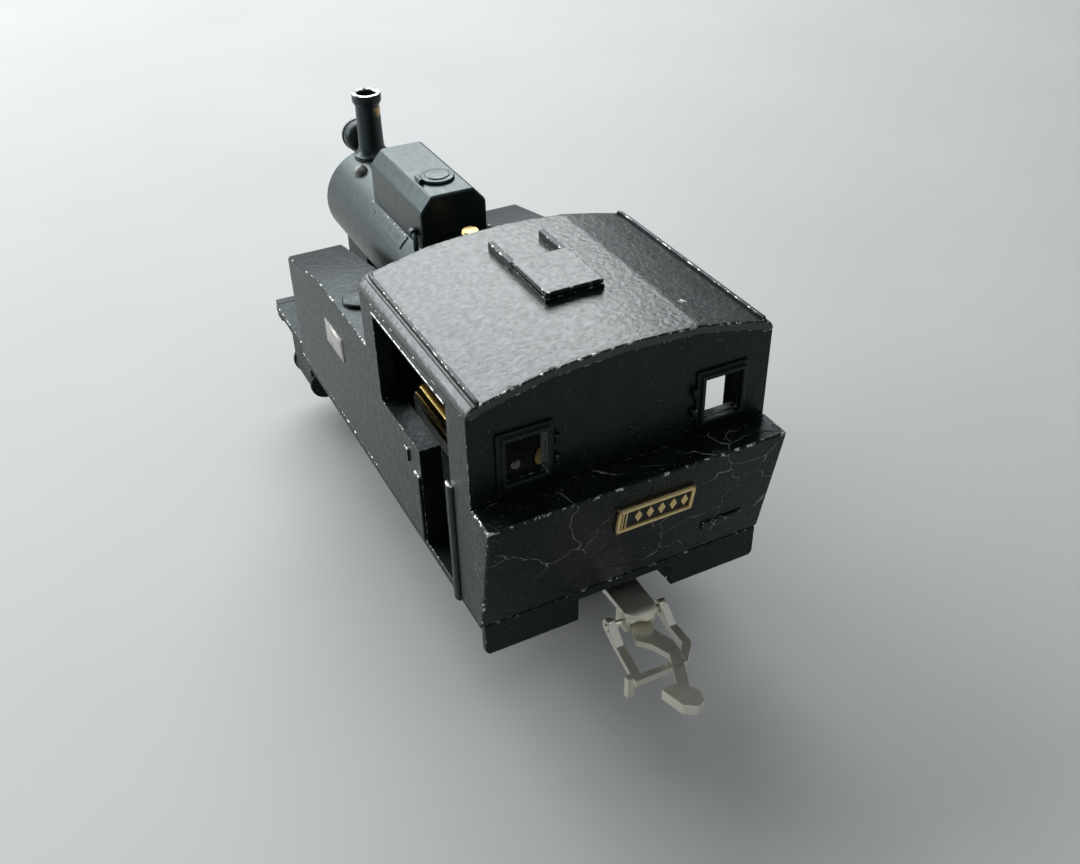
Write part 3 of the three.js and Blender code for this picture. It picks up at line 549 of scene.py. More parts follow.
def build_roof():
    low, high = corners("cab_roof")
    eave, crown = low.z, high.z
    shoulder = high.y - 1.3
    slopes = [(shoulder + 0.2, eave + 1.29), (11.8, crown - 1.2), (7.7, crown - 0.4), (-7.7, crown - 0.4)]
    top = arc(shoulder, eave, 1.3, 0, 80, 8) + eased_corners(slopes, 0.5)
    top = [p for p in top if p[0] > 0.5] + [(3.8, crown - 0.13), (0.0, crown)]
    under = [(0.0, crown - 1), (7.7, crown - 1.4), (11.7, crown - 2.2), (14.8, eave + 0.3), (15.4, eave)]
    outline = top + [(-a, b) for a, b in reversed(top[:-1])]
    outline += [(-a, b) for a, b in reversed(under)] + under[1:]
    bm = prism(outline, "x", low.x, high.x)
    round_edges(bm, 0.16, 2, 50)
    long_edges = [e for e in bm.edges if abs(e.verts[0].co.x - e.verts[1].co.x) > 5]
    bmesh.ops.subdivide_edges(bm, edges=long_edges, cuts=40, use_grid_fill=True)
    for vert in bm.verts:
        ripple = noise.noise(vert.co * 0.2) * 0.03
        if vert.co.z > eave + 0.9:
            vert.co.z += ripple
    settle(piece("roof_sheet", bm, paint["roof"], paint["edge"]), BODY, PAINT, "cab_roof")
    for name, side in SIDES:
        y = shoulder + 0.05
        line = [(low.x + 0.02, y, eave + 1.52)] + [(low.x + 1.2 + i, y, eave + 1.5) for i in range(25)]
        line += [(high.x - 0.9, y - 0.06, eave + 1.5), (high.x - 0.35, y - 0.35, eave + 1.52)]
        strip = round_edges(swept([(-0.2, -0.4), (0.2, -0.4), (0.2, 0.26), (-0.2, 0.26)], line), 0.09, 2)
        settle(piece(f"{name}_gutter", flip(strip, side), paint["body"], paint["edge"]), BODY, PAINT)
        # painted shade: a thin strip of black material along the roof beside the gutter stands in for the
        # shaded groove between gutter and shoulder; no groove is cut in the roof
        shade_line = [(low.x + 0.05, y + 0.42, eave + 1.25), (high.x - 0.4, y + 0.42, eave + 1.25)]
        shadow = swept([(-0.08, -0.1), (0.08, -0.1), (0.08, 0.03), (-0.08, 0.03)], shade_line)
        settle(piece(f"{name}_gutter_shade_line", flip(shadow, side), black_plastic), BODY, PAINT)
        bead = block((CAB_OPENING[0], 16.3, eave - 1.05), (CAB_OPENING[1], 16.52, eave - 0.8))
        bead = flip(round_edges(bead, 0.08), side)
        settle(piece(f"{name}_window_bead", bead, paint["body"], paint["rubbed_edge"]), BODY, PAINT)


def build_hatch():
    low, high = corners("roof_hatch")
    lid_front = low.x + 7.7
    base = round_edges(block((low.x - 0.05, -3.25, low.z), (lid_front - 0.1, 3.25, high.z - 0.62)), 0.08)
    settle(piece("hatch_base", base, paint["body"], paint["edge"]), BODY, PAINT, "roof_hatch")
    lid = round_edges(block((low.x, -3.2, high.z - 0.52), (lid_front, 3.2, high.z)), 0.14)
    settle(piece("hatch_lid", lid, paint["roof"], paint["dull_edge"]), BODY, PAINT)
    for name, side in SIDES:
        rail = round_edges(block((lid_front - 0.1, 2.6, low.z), (high.x, 3.3, high.z - 0.2)), 0.14)
        settle(piece(f"hatch_rail_{name}", flip(rail, side), paint["body"], paint["edge"]), BODY, PAINT)


def build_cab():
    softened("cab_shell", 0.2, BODY, PAINT, paint["body"], paint["edge"])
    low, _ = corners("cab_shell")
    for name, side in SIDES:
        softened(f"rear_window_frame_{name}", 0.09, BODY, PAINT, paint["body"], paint["body"])
        for label, height in (("lower", 31.5), ("upper", 33.9)):
            lug = turned([(0, -0.5), (0.3, -0.5), (0.3, 0.5), (0, 0.5)], "z",
                         (low.x - 0.35, 7.55, height), 16)
            lug = flip(round_edges(lug, 0.06), side)
            settle(piece(f"window_lug_{name}_{label}", lug, paint["body"], paint["edge"]), BODY, PAINT)
    floor_top = corners("footplate")[1].z
    cap = turned([(0, 0), (0.75, 0), (0.75, 0.3), (0.45, 0.5), (0.45, 0.9), (0, 1.0)], "z",
                 (-29.6, 12.6, floor_top), 24)
    settle(piece("cab_floor_fitting", cap, brass), BODY, "brass")


def build_bunker():
    bm = round_edges(cad_copy("coal_bunker"), 0.24, 3)
    top = corners("coal_bunker")[1].z
    for face in bm.faces:
        middle = face.calc_center_median()
        if face.material_index == 1 and middle.z > top - 0.3 and middle.x < BUNKER_TOP_X + 0.4:
            face.material_index = 2
    settle(piece("bunker_tank", bm, paint["bunker"], paint["dull_edge"], paint["edge"]),
           BODY, PAINT, "coal_bunker")


def on_bunker(bm, y, z):
    """Lays a flat design (across, up the slope, out) on the sloping back of the bunker."""
    slope = (BUNKER_TOP_X - BUNKER_FOOT_X) / (BUNKER_TOP_Z - BUNKER_FOOT_Z)
    up = Vector((slope, 0, 1)).normalized()
    across = -Y
    out = across.cross(up)
    origin = Vector((BUNKER_FOOT_X + slope * (z - BUNKER_FOOT_Z), y, z))
    matrix = Matrix((across, up, out)).transposed().to_4x4()
    bmesh.ops.transform(bm, matrix=Matrix.Translation(origin) @ matrix, verts=bm.verts)
    return bm


def frame_of(half_a, half_b, rim, low, high):
    """A flat rectangular rim."""
    bars = [((-half_a, half_b - rim), (half_a, half_b)), ((-half_a, -half_b), (half_a, rim - half_b)),
            ((-half_a, -half_b), (rim - half_a, half_b)), ((half_a - rim, -half_b), (half_a, half_b))]
    return merged(*[round_edges(block((*a, low), (*b, high)), 0.05, 1) for a, b in bars])


def build_number_plate():
    low, high = corners("rear_number_plate")
    half_a, half_b = (high.y - low.y) / 2, (high.z - low.z) / 2 + 0.02
    y, z = (low.y + high.y) / 2, (low.z + high.z) / 2
    field = round_edges(block((-half_a, -half_b, 0.0), (half_a, half_b, 0.28)), 0.05)
    settle(piece("number_plate_field", on_bunker(field, y, z), plate_field, plate_brass), BODY, "brass",
           "rear_number_plate")
    rim = on_bunker(frame_of(half_a, half_b, 0.36, 0.2, 0.54), y, z)
    settle(piece("number_plate_rim", rim, plate_brass, plate_brass), BODY, "brass")
    parts = []
    for i in range(5):
        a = -1.95 + i * 1.32
        diamond = prism([(a - 0.42, 0), (a, -0.82), (a + 0.42, 0), (a, 0.82)], "z", 0.2, 0.45)
        hole = prism([(a - 0.16, 0), (a, -0.34), (a + 0.16, 0), (a, 0.34)], "z", 0.44, 0.47)
        parts += [round_edges(diamond, 0.05, 1), hole]
    for a in (-3.72, -3.35):
        parts.append(round_edges(block((a - 0.07, -1.25, 0.2), (a + 0.07, 1.25, 0.42)), 0.03, 1))
    relief = on_bunker(merged(*parts), y, z)
    settle(piece("number_plate_relief", relief, plate_brass, plate_brass), BODY, "brass")
    bar = round_edges(block((-2.45, -0.55, -0.05), (2.45, 0.55, 0.22)), 0.09)
    badge = on_bunker(bar, -10.9, 17.9)
    settle(piece("bunker_badge", badge, paint["bunker"], paint["dull_edge"]), BODY, PAINT)


def build_tanks():
    for name, side in SIDES:
        softened(f"{name}_side_tank", 0.2, BODY, PAINT, paint["body"], paint["dull_edge"])
        low, _ = corners(f"{name}_tank_filler")
        lid = turned([(0, -0.02), (2.0, -0.02), (2.0, 0.28), (1.85, 0.42), (1.3, 0.5), (0, 0.56)], "z",
                     (1.0, side * 13.5, low.z))
        settle(piece(f"{name}_filler_lid", lid, paint["body"], paint["edge"]), BODY, PAINT,
               f"{name}_tank_filler", sharp=30)
        hinge = round_edges(block((-1.9, 12.9, low.z - 0.02), (-0.6, 14.1, low.z + 0.48)), 0.12)
        settle(piece(f"{name}_filler_hinge", flip(hinge, side), paint["body"], paint["edge"]), BODY, PAINT)
        badge = merged(round_edges(block((0.7, 16.25, 24.0), (6.8, 16.4, 27.1)), 0.04, 1),
                       round_edges(block((1.0, 16.3, 24.3), (6.5, 16.46, 26.8)), 0.05, 1))
        settle(piece(f"{name}_tank_plate", flip(badge, side), steel, steel), BODY, "steel")


def build_handrails():
    """Flat and half-round strips up the cab side, with their top ends rubbed bright."""
    wall = 16.38
    for name, side in SIDES:
        half_round = [(-31.2 + 0.7 * a, wall + 0.45 * b) for a, b in arc(0, 0, 1, 0, 180, 10)]
        strips = {
            "rear": round_edges(prism(half_round, "z", 13.4, 28.3), 0.1, 2, 40),
            "front": round_edges(block((-23.1, wall, 14.8), (-21.7, wall + 0.4, 23.5)), 0.14),
            "bracket": round_edges(block((-20.0, wall - 0.05, 23.4), (-19.0, wall + 0.25, 25.0)), 0.1),
        }
        for label, bm in strips.items():
            top = max(vert.co.z for vert in bm.verts)
            for face in bm.faces:
                face.material_index = 1 if face.calc_center_median().z > top - 0.25 else 0
            settle(piece(f"{name}_handrail_{label}", flip(bm, side), paint["body"], paint["rubbed_edge"]),
                   BODY, PAINT)


# ---------------------------------------------------------------- boiler, dome, chimney and lamp

def on_boiler(profile, steps=96, **sweep):
    return turned(profile, "x", (0, 0, BOILER_Z), steps, **sweep)


def build_boiler():
    low, high = corners("boiler_barrel")
    r, skin = BOILER_RADIUS, BOILER_SKIN
    cut_front, cut_drop = 6.5, 2             # the rear part has no underside, to clear the motor
    front = on_boiler([(r, cut_front), (r, high.x), (r - skin, high.x), (r - skin, cut_front)])
    open_angle = math.degrees(math.asin(cut_drop / r))
    rear = on_boiler([(r, low.x), (r, cut_front), (r - skin, cut_front), (r - skin, low.x)],
                     start=90 - open_angle, sweep=180 + 2 * open_angle)
    settle(piece("boiler_skin", merged(front, rear), paint["boiler"]), BODY, PAINT, "boiler_barrel")
    low, high = corners("smokebox")
    shell = on_boiler([(r, low.x), (r, high.x - 0.3), (r - 0.3, high.x), (0, high.x), (0, high.x - skin),
                       (r - skin, high.x - skin), (r - skin, low.x)])
    settle(piece("smokebox_shell", shell, paint["boiler"], paint["dull_edge"]), BODY, PAINT, "smokebox")
    boss = turned([(0, 1.0)] + [(0.98 * math.cos(math.radians(a)), 0.98 * math.sin(math.radians(a)))
                                for a in range(80, -1, -10)] + [(0.98, -0.8), (0, -0.8)],
                  "z", (28.4, 3.0, 34.75), 40)
    settle(piece("smokebox_boss", boss, wheel_centre), BODY, "steel")
    softened("smokebox_saddle", 0.15, BODY, PAINT, paint["chassis"], paint["dull_edge"])


def build_smokebox_door():
    x = corners("smokebox_door")[0].x
    face = on_boiler([(0, x), (4.8, x), (4.8, x + 0.42), (4.6, x + 0.55), (4.25, x + 0.55), (4.1, x + 0.75),
                      (3.2, x + 1.05), (1.8, x + 1.3), (0, x + 1.4)])
    settle(piece("door_disc", face, paint["boiler"], paint["edge"]), BODY, PAINT, "smokebox_door", sharp=50)
    spindle = on_boiler([(0, x + 1.3), (0.6, x + 1.3), (0.6, x + 1.6), (0.35, x + 1.8), (0.35, x + 2.15),
                         (0, x + 2.2)], 24)
    upright = round_edges(block((x + 1.6, -0.16, BOILER_Z - 1.5), (x + 1.85, 0.16, BOILER_Z + 0.2)), 0.06)
    across = round_edges(block((x + 1.9, -1.2, BOILER_Z - 0.16), (x + 2.15, 0.2, BOILER_Z + 0.16)), 0.06)
    settle(piece("door_handles", merged(spindle, upright, across), steel, steel), BODY, PAINT)
    straps = [round_edges(block((x + 0.6, -4.4, z - 0.3), (x + 1.15, 1.6, z + 0.3)), 0.08)
              for z in (BOILER_Z - 2.1, BOILER_Z + 2.1)]
    hinge = turned([(0, -2.9), (0.35, -2.9), (0.35, 2.9), (0, 2.9)], "z", (x + 0.75, -4.6, BOILER_Z), 16)
    settle(piece("door_hinge", merged(*straps, hinge), paint["boiler"], paint["dull_edge"]), BODY, PAINT)


def build_chimney():
    low, high = corners("chimney")
    x = (low.x + high.x) / 2
    top = high.z
    foot = BOILER_Z + BOILER_RADIUS
    bore_floor = 38.5
    flare = [(2.45 - 0.75 * math.sin(math.radians(a)), foot + 0.2 + 1.5 * (1 - math.cos(math.radians(a))))
             for a in range(0, 91, 15)]
    lip = [(1.62, top - 1.75), (1.68, top - 1.5), (1.9, top - 1.15), (1.95, top - 0.9),
           (1.95, top - 0.16), (1.88, top - 0.03)]
    stack = turned([(1.0, foot - 0.9), (2.45, foot - 0.9)] + flare + lip, "z", (x, 0, 0), 64, seal=False)
    bore = turned([(1.88, top - 0.03), (1.7, top), (1.36, top), (1.25, top - 0.12), (1.1, bore_floor),
                   (0, bore_floor)], "z", (x, 0, 0), 64, seal=False)
    for face in bore.faces:
        face.material_index = 1 if face.calc_center_median().z > top - 0.2 else 0
    whole = merged(stack, bore)
    bmesh.ops.remove_doubles(whole, verts=whole.verts, dist=0.001)
    settle(piece("chimney_stack", whole, paint["chimney"], paint["rubbed_edge"]), BODY, PAINT, "chimney")


def build_headlight():
    z = HEADLIGHT_Z
    shell = turned([(0, 0), (0.5, 0.02), (1.3, 0.25), (1.85, 0.7), (2.1, 1.2), (2.15, 1.5), (2.15, 2.5),
                    (2.25, 2.6), (2.25, 2.95), (2.1, 3.02), (1.85, 3.0), (1.75, 2.85), (1.75, 2.0),
                    (0, 2.0)], "x", (34.9, 0, z), 64)
    bracket = round_edges(block((34.55, -0.6, 33.9), (35.8, 0.6, 35.2)), 0.1)
    lamp = piece("lamp_shell", merged(shell, bracket), paint["body"], paint["edge"])
    settle(lamp, BODY, PAINT, "headlight")
    lens_x = corners("headlight_lens")[0].x
    lens = turned([(0, 0), (1.72, 0), (1.72, 0.3), (1.5, 0.52), (1.1, 0.72), (0.6, 0.84), (0, 0.88)],
                  "x", (lens_x, 0, z), 64)
    settle(piece("lamp_lens_glass", lens, lens_glass), BODY, "lamp_glass", "headlight_lens")
    back = turned([(0, 0.02), (1.7, 0.02), (1.7, 0.1), (0, 0.1)], "x", (lens_x - 0.12, 0, z), 48)
    settle(piece("lamp_reflector", back, nickel), BODY, "nickel")


def build_dome():
    softened("dome_casing", 0.5, BODY, PAINT, paint["boiler"], paint["boiler"], steps=4)
    top = corners("dome_casing")[1].z
    lid = turned([(0, 0), (2.1, 0), (2.1, 0.22), (1.98, 0.36), (1.5, 0.42), (1.42, 0.54), (0, 0.6)], "z",
                 (8.4, 0, top), 64)
    settle(piece("dome_lid", lid, paint["boiler"], paint["edge"]), BODY, PAINT, "dome_hatch")
    hinge = merged(round_edges(block((7.75, 1.7, top), (9.05, 2.62, top + 0.4)), 0.1),
                   turned([(0, -0.8), (0.28, -0.8), (0.28, 0.8), (0, 0.8)], "x",
                          (8.4, 2.3, top + 0.36), 16))
    settle(piece("dome_lid_hinge", hinge, paint["boiler"], paint["edge"]), BODY, PAINT)
    r = BOILER_RADIUS
    for name, side in SIDES:
        strip = on_boiler([(r - 0.1, 8.6), (r + 0.18, 8.6), (r + 0.18, 21.0), (r - 0.1, 21.0)], 8,
                          start=123.8, sweep=15.4)
        strip = flip(round_edges(strip, 0.07), side)
        settle(piece(f"dome_foot_{name}", strip, paint["boiler"], paint["dull_edge"]), BODY, PAINT)
        # painted shade: the four slots are flat black patches barely proud of the strip, standing in for
        # the shade inside the slot openings; no recess is cut
        slot_shades = [on_boiler([(r + 0.1, x), (r + 0.2, x), (r + 0.2, x + 1.7), (r + 0.1, x + 1.7)], 4,
                           start=129.5, sweep=4.5) for x in (9.9, 12.7, 15.5, 18.3)]
        settle(piece(f"dome_foot_slot_shades_{name}", flip(merged(*slot_shades), side), black_plastic), BODY, PAINT)
    path = [(4.4, 4.75, 33.5), (4.4, 4.85, 34.6), (4.5, 4.8, 35.3), (4.9, 4.7, 35.8), (5.6, 4.6, 36.0)]
    pipe = merged(swept(circle(0.32, 12), path, up=Y),
                  turned([(0, 0), (0.55, 0), (0.55, 0.5), (0.4, 0.65), (0, 0.65)], "z",
                         (4.4, 4.75, 33.2), 20),
                  turned([(0, 0), (0.5, 0), (0.5, 0.7), (0, 0.7)], "x", (5.3, 4.6, 36.0), 20))
    settle(piece("dome_drain_pipe", pipe, paint["boiler"], paint["edge"]), BODY, PAINT)


def build_safety_valve():
    low, high = corners("safety_valve")
    middle = ((low.x + high.x) / 2, 0, 0)
    body = turned([(0, low.z + 0.3), (1.0, low.z + 0.3), (1.0, low.z + 0.9), (0.75, low.z + 1.1),
                   (0.75, high.z - 1.5), (1.02, high.z - 1.3), (1.05, high.z - 0.3), (0.92, high.z - 0.06),
                   (0.5, high.z), (0, high.z)],
                  "z", middle, 48)
    settle(piece("safety_valve_brass", body, brass), BODY, "brass", "safety_valve", sharp=30)


# ---------------------------------------------------------------- chassis

def screw(x, y, z, radius, height, slot_angle):
    """A slotted cheese-head screw on a face that looks down."""
    head = turned([(0, 0), (radius, 0), (radius, height * 0.75), (radius * 0.85, height), (0, height)],
                  "z", (0, 0, 0), 24)
    # painted shade: the slot is a thin black sliver laid on the head, not a recess, standing in for the
    # shade inside the slot
    shade_line = block((-radius * 0.92, -radius * 0.13, height), (radius * 0.92, radius * 0.13, height + 0.012))
    bmesh.ops.rotate(shade_line, verts=shade_line.verts, matrix=Matrix.Rotation(slot_angle, 3, "Z"))
    for face in shade_line.faces:
        face.material_index = 1
    bm = merged(head, shade_line)
    bmesh.ops.rotate(bm, verts=bm.verts, matrix=Matrix.Rotation(math.pi, 3, "X"))
    bmesh.ops.translate(bm, verts=bm.verts, vec=(x, y, z))
    return bm


def build_chassis():
    for node in ("footplate", "rear_beam", "front_beam", "left_frame_plate", "right_frame_plate"):
        softened(node, 0.12, BODY, PAINT, paint["chassis"], paint["dull_edge"])
    softened("keeper_plate", 0.08, BODY, PAINT, paint["chassis"], paint["edge"])
    bottom = corners("keeper_plate")[0].z
    screws = [screw(x, y, bottom + 0.25, 1.0, 0.24, 0.4 + x)
              for x in (-15.2, 0.5, 16.2) for y in (-4.2, 4.2)]
    settle(piece("keeper_screws", merged(*screws), steel, black_plastic), BODY, "steel")
    for node in ("motor_bracket", "worm_bracket"):
        softened(node, 0.08, BODY, slot_names[node], brass, brass)
    for name, side in SIDES:
        build_cylinder(name, side)
        softened(f"{name}_slide_bar", 0.08, BODY, "steel", steel, steel)
    for end, sign in ENDS:
        low, high = corners(f"{end}_coupler_pin")
        z0, z1 = low.z, high.z
        pin = turned([(0, z0), (1.42, z0), (1.5, z0 + 0.08), (1.5, z0 + 0.5), (0.8, z0 + 0.52), (0.8, z1),
                      (0, z1)], "z", (COUPLER_PIVOT_X * sign, 0, 0), 48)
        settle(piece(f"{end}_swing_screw", pin, steel), BODY, "steel", f"{end}_coupler_pin")


def build_cylinder(name, side):
    low, high = corners(f"{name}_cylinder")
    y, z = CYLINDER_Y, centre("rear_axle").z
    cover = z - low.z
    r = cover - 0.2
    chest_top = 13.15
    barrel = turned([(0.5, low.x), (cover - 0.05, low.x), (cover, low.x + 0.08), (cover, low.x + 0.55),
                     (r, low.x + 0.6), (r, high.x - 0.6), (cover, high.x - 0.55), (cover, high.x - 0.08),
                     (cover - 0.1, high.x), (1.3, high.x), (1.2, high.x + 0.12), (0, high.x + 0.12),
                     (0, high.x - 0.9), (0.5, high.x - 0.9)], "x", (0, y, z), 64)
    chest = round_edges(block((low.x + 0.4, 10.3, z + 1), (high.x - 0.4, y + r - 0.1, chest_top)), 0.25, 3)
    root = round_edges(block((low.x + 0.4, 6.92, z - 1.2), (high.x - 0.4, 11.5, chest_top)), 0.2)
    ring = r - 0.35
    bolts = [turned([(0, 0), (0.24, 0), (0.24, 0.18), (0.12, 0.24), (0, 0.24)], "x",
                    (high.x, y + ring * math.cos(a), z + ring * math.sin(a)), 6)
             for a in (math.radians(20 + 45 * i) for i in range(8))]
    block_mesh = flip(merged(barrel, chest, root, *bolts), side)
    settle(piece(f"{name}_cylinder_casting", block_mesh, paint["chassis"], paint["dull_edge"]), BODY, PAINT,
           f"{name}_cylinder")


# ---------------------------------------------------------------- motor and gears

def build_motor():
    low, high = corners("motor_case")
    x0, x1 = low.x, high.x
    z, r = MOTOR_Z, MOTOR_RADIUS
    case = turned([(r - 0.7, x0), (r, x0), (r, x0 + 1.2), (r - 0.12, x0 + 1.35), (r - 0.12, x1 - 2.2),
                   (r, x1 - 2.0), (r, x1 - 0.6), (r - 0.25, x1 - 0.18), (r - 0.7, x1), (1.2, x1),
                   (1.2, x1 - 0.7), (r - 0.7, x1 - 0.7)],
                  "x", (0, 0, z), 96)
    settle(piece("motor_case_gold", case, gold_case), BODY, "brass", "motor_case")
    ribs = []
    for angle in (-30, -14, 2, 18, 162, 178, 194, 210):
        rib = round_edges(block((x0 + 0.6, r - 0.4, -0.35), (x1 - 1.0, r + 0.18, 0.35)), 0.12)
        bmesh.ops.rotate(rib, verts=rib.verts, matrix=Matrix.Rotation(math.radians(angle), 3, "X"))
        bmesh.ops.translate(rib, verts=rib.verts, vec=(0, 0, z))
        ribs.append(rib)
    settle(piece("motor_case_ribs", merged(*ribs), gold_case, gold_case), BODY, "brass")
    rear = corners("motor_end_cap")[0].x
    cap = turned([(0.85, rear + 0.25), (1.9, rear + 0.25), (2.1, rear), (r - 1.2, rear),
                  (r - 0.7, rear + 0.15), (r - 0.1, rear + 0.75), (r, rear + 1.0), (r, x0 - 0.02),
                  (r - 0.75, x0 - 0.02), (r - 0.75, x0 + 1), (0.85, x0 + 1)], "x", (0, 0, z), 96)
    settle(piece("motor_cap_plastic", cap, black_plastic), BODY, "black_plastic", "motor_end_cap")
    bearing = turned([(0.8, rear + 0.02), (1.8, rear + 0.02), (1.8, rear + 0.3), (0.8, rear + 0.3)],
                     "x", (0, 0, z), 40)
    settle(piece("motor_bearing", bearing, brass), BODY, "brass")
    caps = [turned([(0, -0.1), (0.5, -0.1), (0.6, 0.0), (0.6, 0.4), (0, 0.4)], "x", (rear, y, z), 24)
            for y in (-4.2, 4.2)]
    settle(piece("motor_brush_caps", merged(*caps), steel), BODY, "steel")


def build_armature():
    z = MOTOR_Z
    shaft = turned([(0, -20.6), (0.65, -20.6), (0.75, -20.5), (0.75, 7.3), (0.65, 7.4), (0, 7.4)],
                   "x", (0, 0, z), 32)
    commutator = turned([(0.7, -16.6), (1.8, -16.6), (1.8, -14.2), (0.7, -14.2)], "x", (0, 0, z), 40)
    settle(piece("armature_shaft", merged(shaft, commutator), steel), "armature", "steel")
    outline = []
    for i in range(5):
        start = 72 * i
        outline += arc(0, 0, 5.8, start + 5, start + 67, 10)
        outline += [(r * math.cos(math.radians(start + a)), r * math.sin(math.radians(start + a)))
                    for r, a in ((5.2, 67), (4.9, 46), (2.2, 46), (2.2, 98), (4.9, 98), (5.2, 77))]
    core = prism(outline, "x", -13, -2)
    bmesh.ops.translate(core, verts=core.verts, vec=(0, 0, z))
    settle(piece("armature_core", core, dark_core), "armature", "laminations", "motor_armature")
    coils = []
    for i in range(5):
        middle = math.radians(72 * i + 36)
        coil = round_edges(block((-13.7, 2.3, -1.7), (-1.3, 4.8, 1.7)), 0.5, 3)
        bmesh.ops.rotate(coil, verts=coil.verts, matrix=Matrix.Rotation(middle, 3, "X"))
        bmesh.ops.translate(coil, verts=coil.verts, vec=(0, 0, z))
        coils.append(coil)
    settle(piece("armature_coils", merged(*coils), copper, copper), "armature", "laminations")


def build_gears():
    softened("motor_pinion", 0.05, "armature", slot_names["motor_pinion"], brass, brass, steps=1, over=20)
    softened("shaft_gear", 0.05, "worm_shaft", slot_names["shaft_gear"], brass, brass, steps=1, over=20)
    low, high = corners("worm_shaft")
    z = (low.z + high.z) / 2
    steps, pitch, around = 28, 0.94, 32
    worm = bmesh.new()
    x0, x1 = 9.4, 14.6
    rows = int((x1 - x0) / pitch * steps / 2)
    rings = []
    for row in range(rows + 1):
        x = x0 + (x1 - x0) * row / rows
        ring = []
        for i in range(around):
            turn = i / around
            wave = abs(((x / pitch + turn) % 1.0) - 0.5) * 2
            radius = 1.35 + 0.42 * min(1.0, max(0.0, wave * 1.8 - 0.4))
            if row in (0, rows):
                radius = 1.3
            angle = turn * math.tau
            ring.append(worm.verts.new((x, radius * math.cos(angle), z + radius * math.sin(angle))))
        rings.append(ring)
    for one, two in zip(rings, rings[1:]):
        for i in range(around):
            j = (i + 1) % around
            worm.faces.new((one[i], one[j], two[j], two[i]))
    worm.faces.new(rings[0])
    worm.faces.new(rings[-1])
    shaft = turned([(0, 4.7), (0.6, 4.7), (0.6, 17.4), (0.5, 17.5), (0, 17.5)], "x", (0, 0, z), 32)
    settle(piece("worm_thread", merged(worm, shaft), steel), "worm_shaft", "steel", "worm_shaft")
    build_worm_wheel()


def build_worm_wheel():
    middle = centre("worm_wheel")
    teeth, root, tip = 20, 2.9, 3.38
    outline = []
    for i in range(teeth):
        for part, radius in ((-0.28, root), (-0.1, tip), (0.1, tip), (0.28, root)):
            angle = math.tau * (i + part) / teeth
            outline.append((middle.x + radius * math.cos(angle), middle.z + radius * math.sin(angle)))
    rim = round_edges(prism(outline, "y", -1.4, 1.4), 0.06, 1, 20)
    hub = turned([(1.02, -2.6), (1.7, -2.6), (1.8, -2.5), (1.8, 2.5), (1.7, 2.6), (1.02, 2.6)], "y",
                 (middle.x, 0, middle.z), 40)
    gear = piece("worm_wheel_teeth", merged(rim, hub), brass, brass)
    settle(gear, "front_wheelset", "brass", "worm_wheel")


# ---------------------------------------------------------------- wheels and rods

def around_axle(bm, degrees, x, z, side):
    """Turns a wheel part drawn with its crank pin towards +X, and puts it on its axle."""
    bmesh.ops.rotate(bm, verts=bm.verts, matrix=Matrix.Rotation(math.radians(-degrees), 3, "Y"))
    bmesh.ops.translate(bm, verts=bm.verts, vec=(x, 0, z))
    return flip(bm, side)


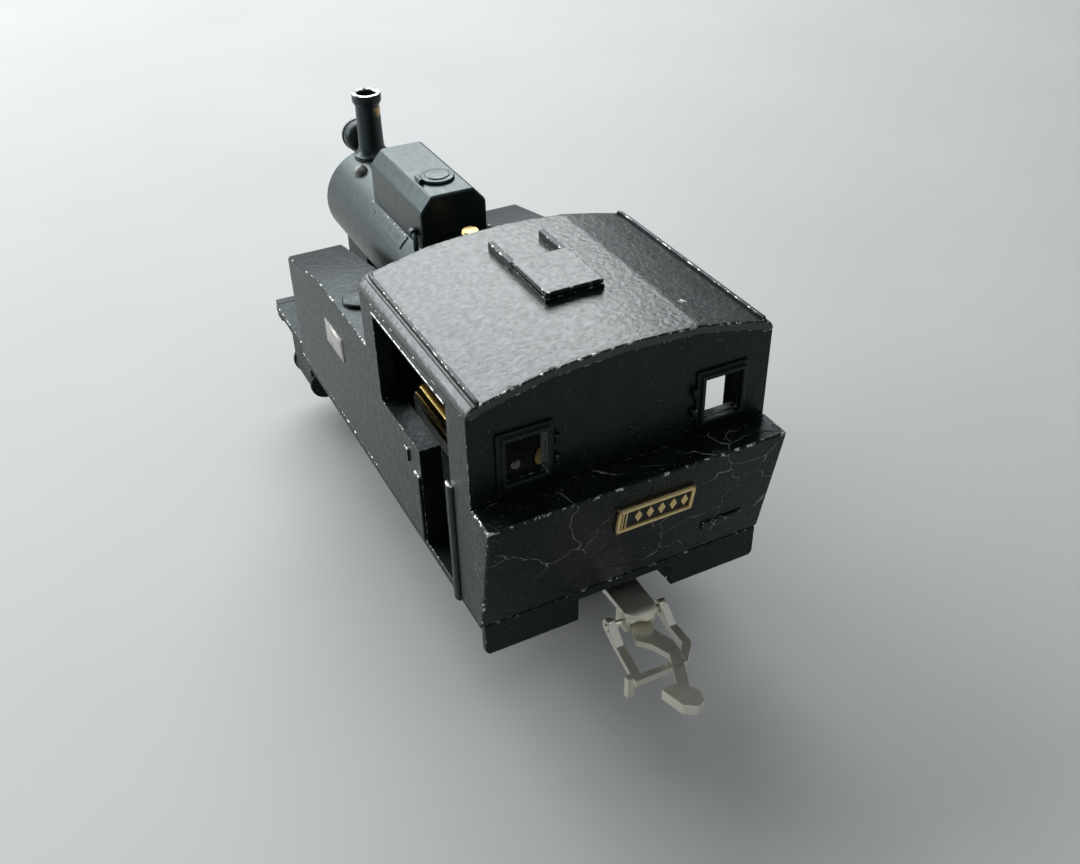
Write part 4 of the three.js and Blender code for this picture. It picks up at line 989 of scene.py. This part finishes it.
def build_wheel(end, name, side):
    node = f"{end}_{name}_wheel"
    axle = centre(f"{end}_axle")
    body = f"{end}_wheelset"
    inner = TREAD_RADIUS - 0.95
    back = FACE - WHEEL_WIDTH
    tread, flange = TREAD_RADIUS, FLANGE_RADIUS
    tyre = turned([(inner, back + 0.1), (flange - 0.35, back + 0.1), (flange - 0.1, back + 0.18),
                   (flange, back + 0.32), (flange - 0.1, back + 0.52), (tread + 0.12, back + 0.78),
                   (tread, back + 0.95), (tread - 0.1, FACE - 0.12), (tread - 0.2, FACE),
                   (inner + 0.1, FACE), (inner, FACE - 0.1)], "y", (0, 0, 0), 96)
    tyre = around_axle(tyre, CRANK[name], axle.x, axle.z, side)
    settle(piece(f"{node}_tyre", tyre, steel), body, "steel", node)
    parts = [turned([(1.05, back), (1.65, back), (1.75, back + 0.1), (1.75, FACE - 0.2), (1.6, FACE - 0.05),
                     (1.05, FACE - 0.05)], "y", (0, 0, 0), 48),
             turned([(0, FACE - 1.5), (1.35, FACE - 1.5), (1.35, FACE - 0.2), (1.2, FACE - 0.05),
                     (0, FACE - 0.05)], "y", (CRANK_THROW, 0, 0), 40)]
    for i in range(10):
        spoke = prism([(1.5, -0.42), (4.55, -0.3), (4.55, 0.3), (1.5, 0.42)], "y", FACE - 1.6, FACE - 0.75)
        round_edges(spoke, 0.16, 2)
        bmesh.ops.rotate(spoke, verts=spoke.verts, matrix=Matrix.Rotation(math.radians(36 * i), 3, "Y"))
        parts.append(spoke)
    weight = prism(arc(0, 0, 4.5, 144, 216, 16) + arc(0, 0, 2.9, 208, 152, 8), "y",
                   FACE - 1.65, FACE - 0.35)
    parts.append(round_edges(weight, 0.12, 2))
    ring = turned([(inner - 0.35, FACE - 1.65), (inner + 0.05, FACE - 1.65), (inner + 0.05, FACE - 0.65),
                   (inner - 0.35, FACE - 0.65)], "y", (0, 0, 0), 96)
    centre_mesh = around_axle(merged(*parts, ring), CRANK[name], axle.x, axle.z, side)
    settle(piece(f"{node}_spokes", centre_mesh, wheel_centre, wheel_centre), body, "steel")
    outer = max(abs(corner.y) for corner in corners(node))
    pin = turned([(0, FACE - 0.2), (0.6, FACE - 0.2), (0.6, outer - 0.3), (0.95, outer - 0.28),
                  (0.95, outer - 0.08), (0.85, outer), (0, outer)], "y", (CRANK_THROW, 0, 0), 32)
    pin = around_axle(pin, CRANK[name], axle.x, axle.z, side)
    settle(piece(f"{node}_pin", pin, steel), body, "steel")


def build_wheels_and_rods():
    for end, _ in ENDS:
        middle = centre(f"{end}_axle")
        axle = turned([(0, -9.5), (0.9, -9.5), (1.0, -9.4), (1.0, 9.4), (0.9, 9.5), (0, 9.5)], "y",
                      (middle.x, 0, middle.z), 40)
        settle(piece(f"{end}_axle_steel", axle, steel), f"{end}_wheelset", "steel", f"{end}_axle")
        for name, side in SIDES:
            build_wheel(end, name, side)
    for name, _ in SIDES:
        for kind in ("coupling_rod", "main_rod", "crosshead"):
            softened(f"{name}_{kind}", 0.08, f"{name}_{kind}", "steel", steel, steel)


# ---------------------------------------------------------------- couplers

def build_couplers():
    for end, _ in ENDS:
        softened(f"{end}_coupler_shank", 0.13, f"{end}_coupler", "nickel", nickel, nickel, steps=3)
        softened(f"{end}_coupler_hook", 0.2, f"{end}_hook", "nickel", nickel, nickel, steps=3, over=25)
        softened(f"{end}_coupler_loop", 0.14, f"{end}_loop", "nickel", nickel, nickel, steps=3)


build_roof()
build_hatch()
build_cab()
build_bunker()
build_number_plate()
build_tanks()
build_handrails()
build_boiler()
build_smokebox_door()
build_chimney()
build_headlight()
build_dome()
build_safety_valve()
build_chassis()
build_motor()
build_armature()
build_gears()
build_wheels_and_rods()
build_couplers()
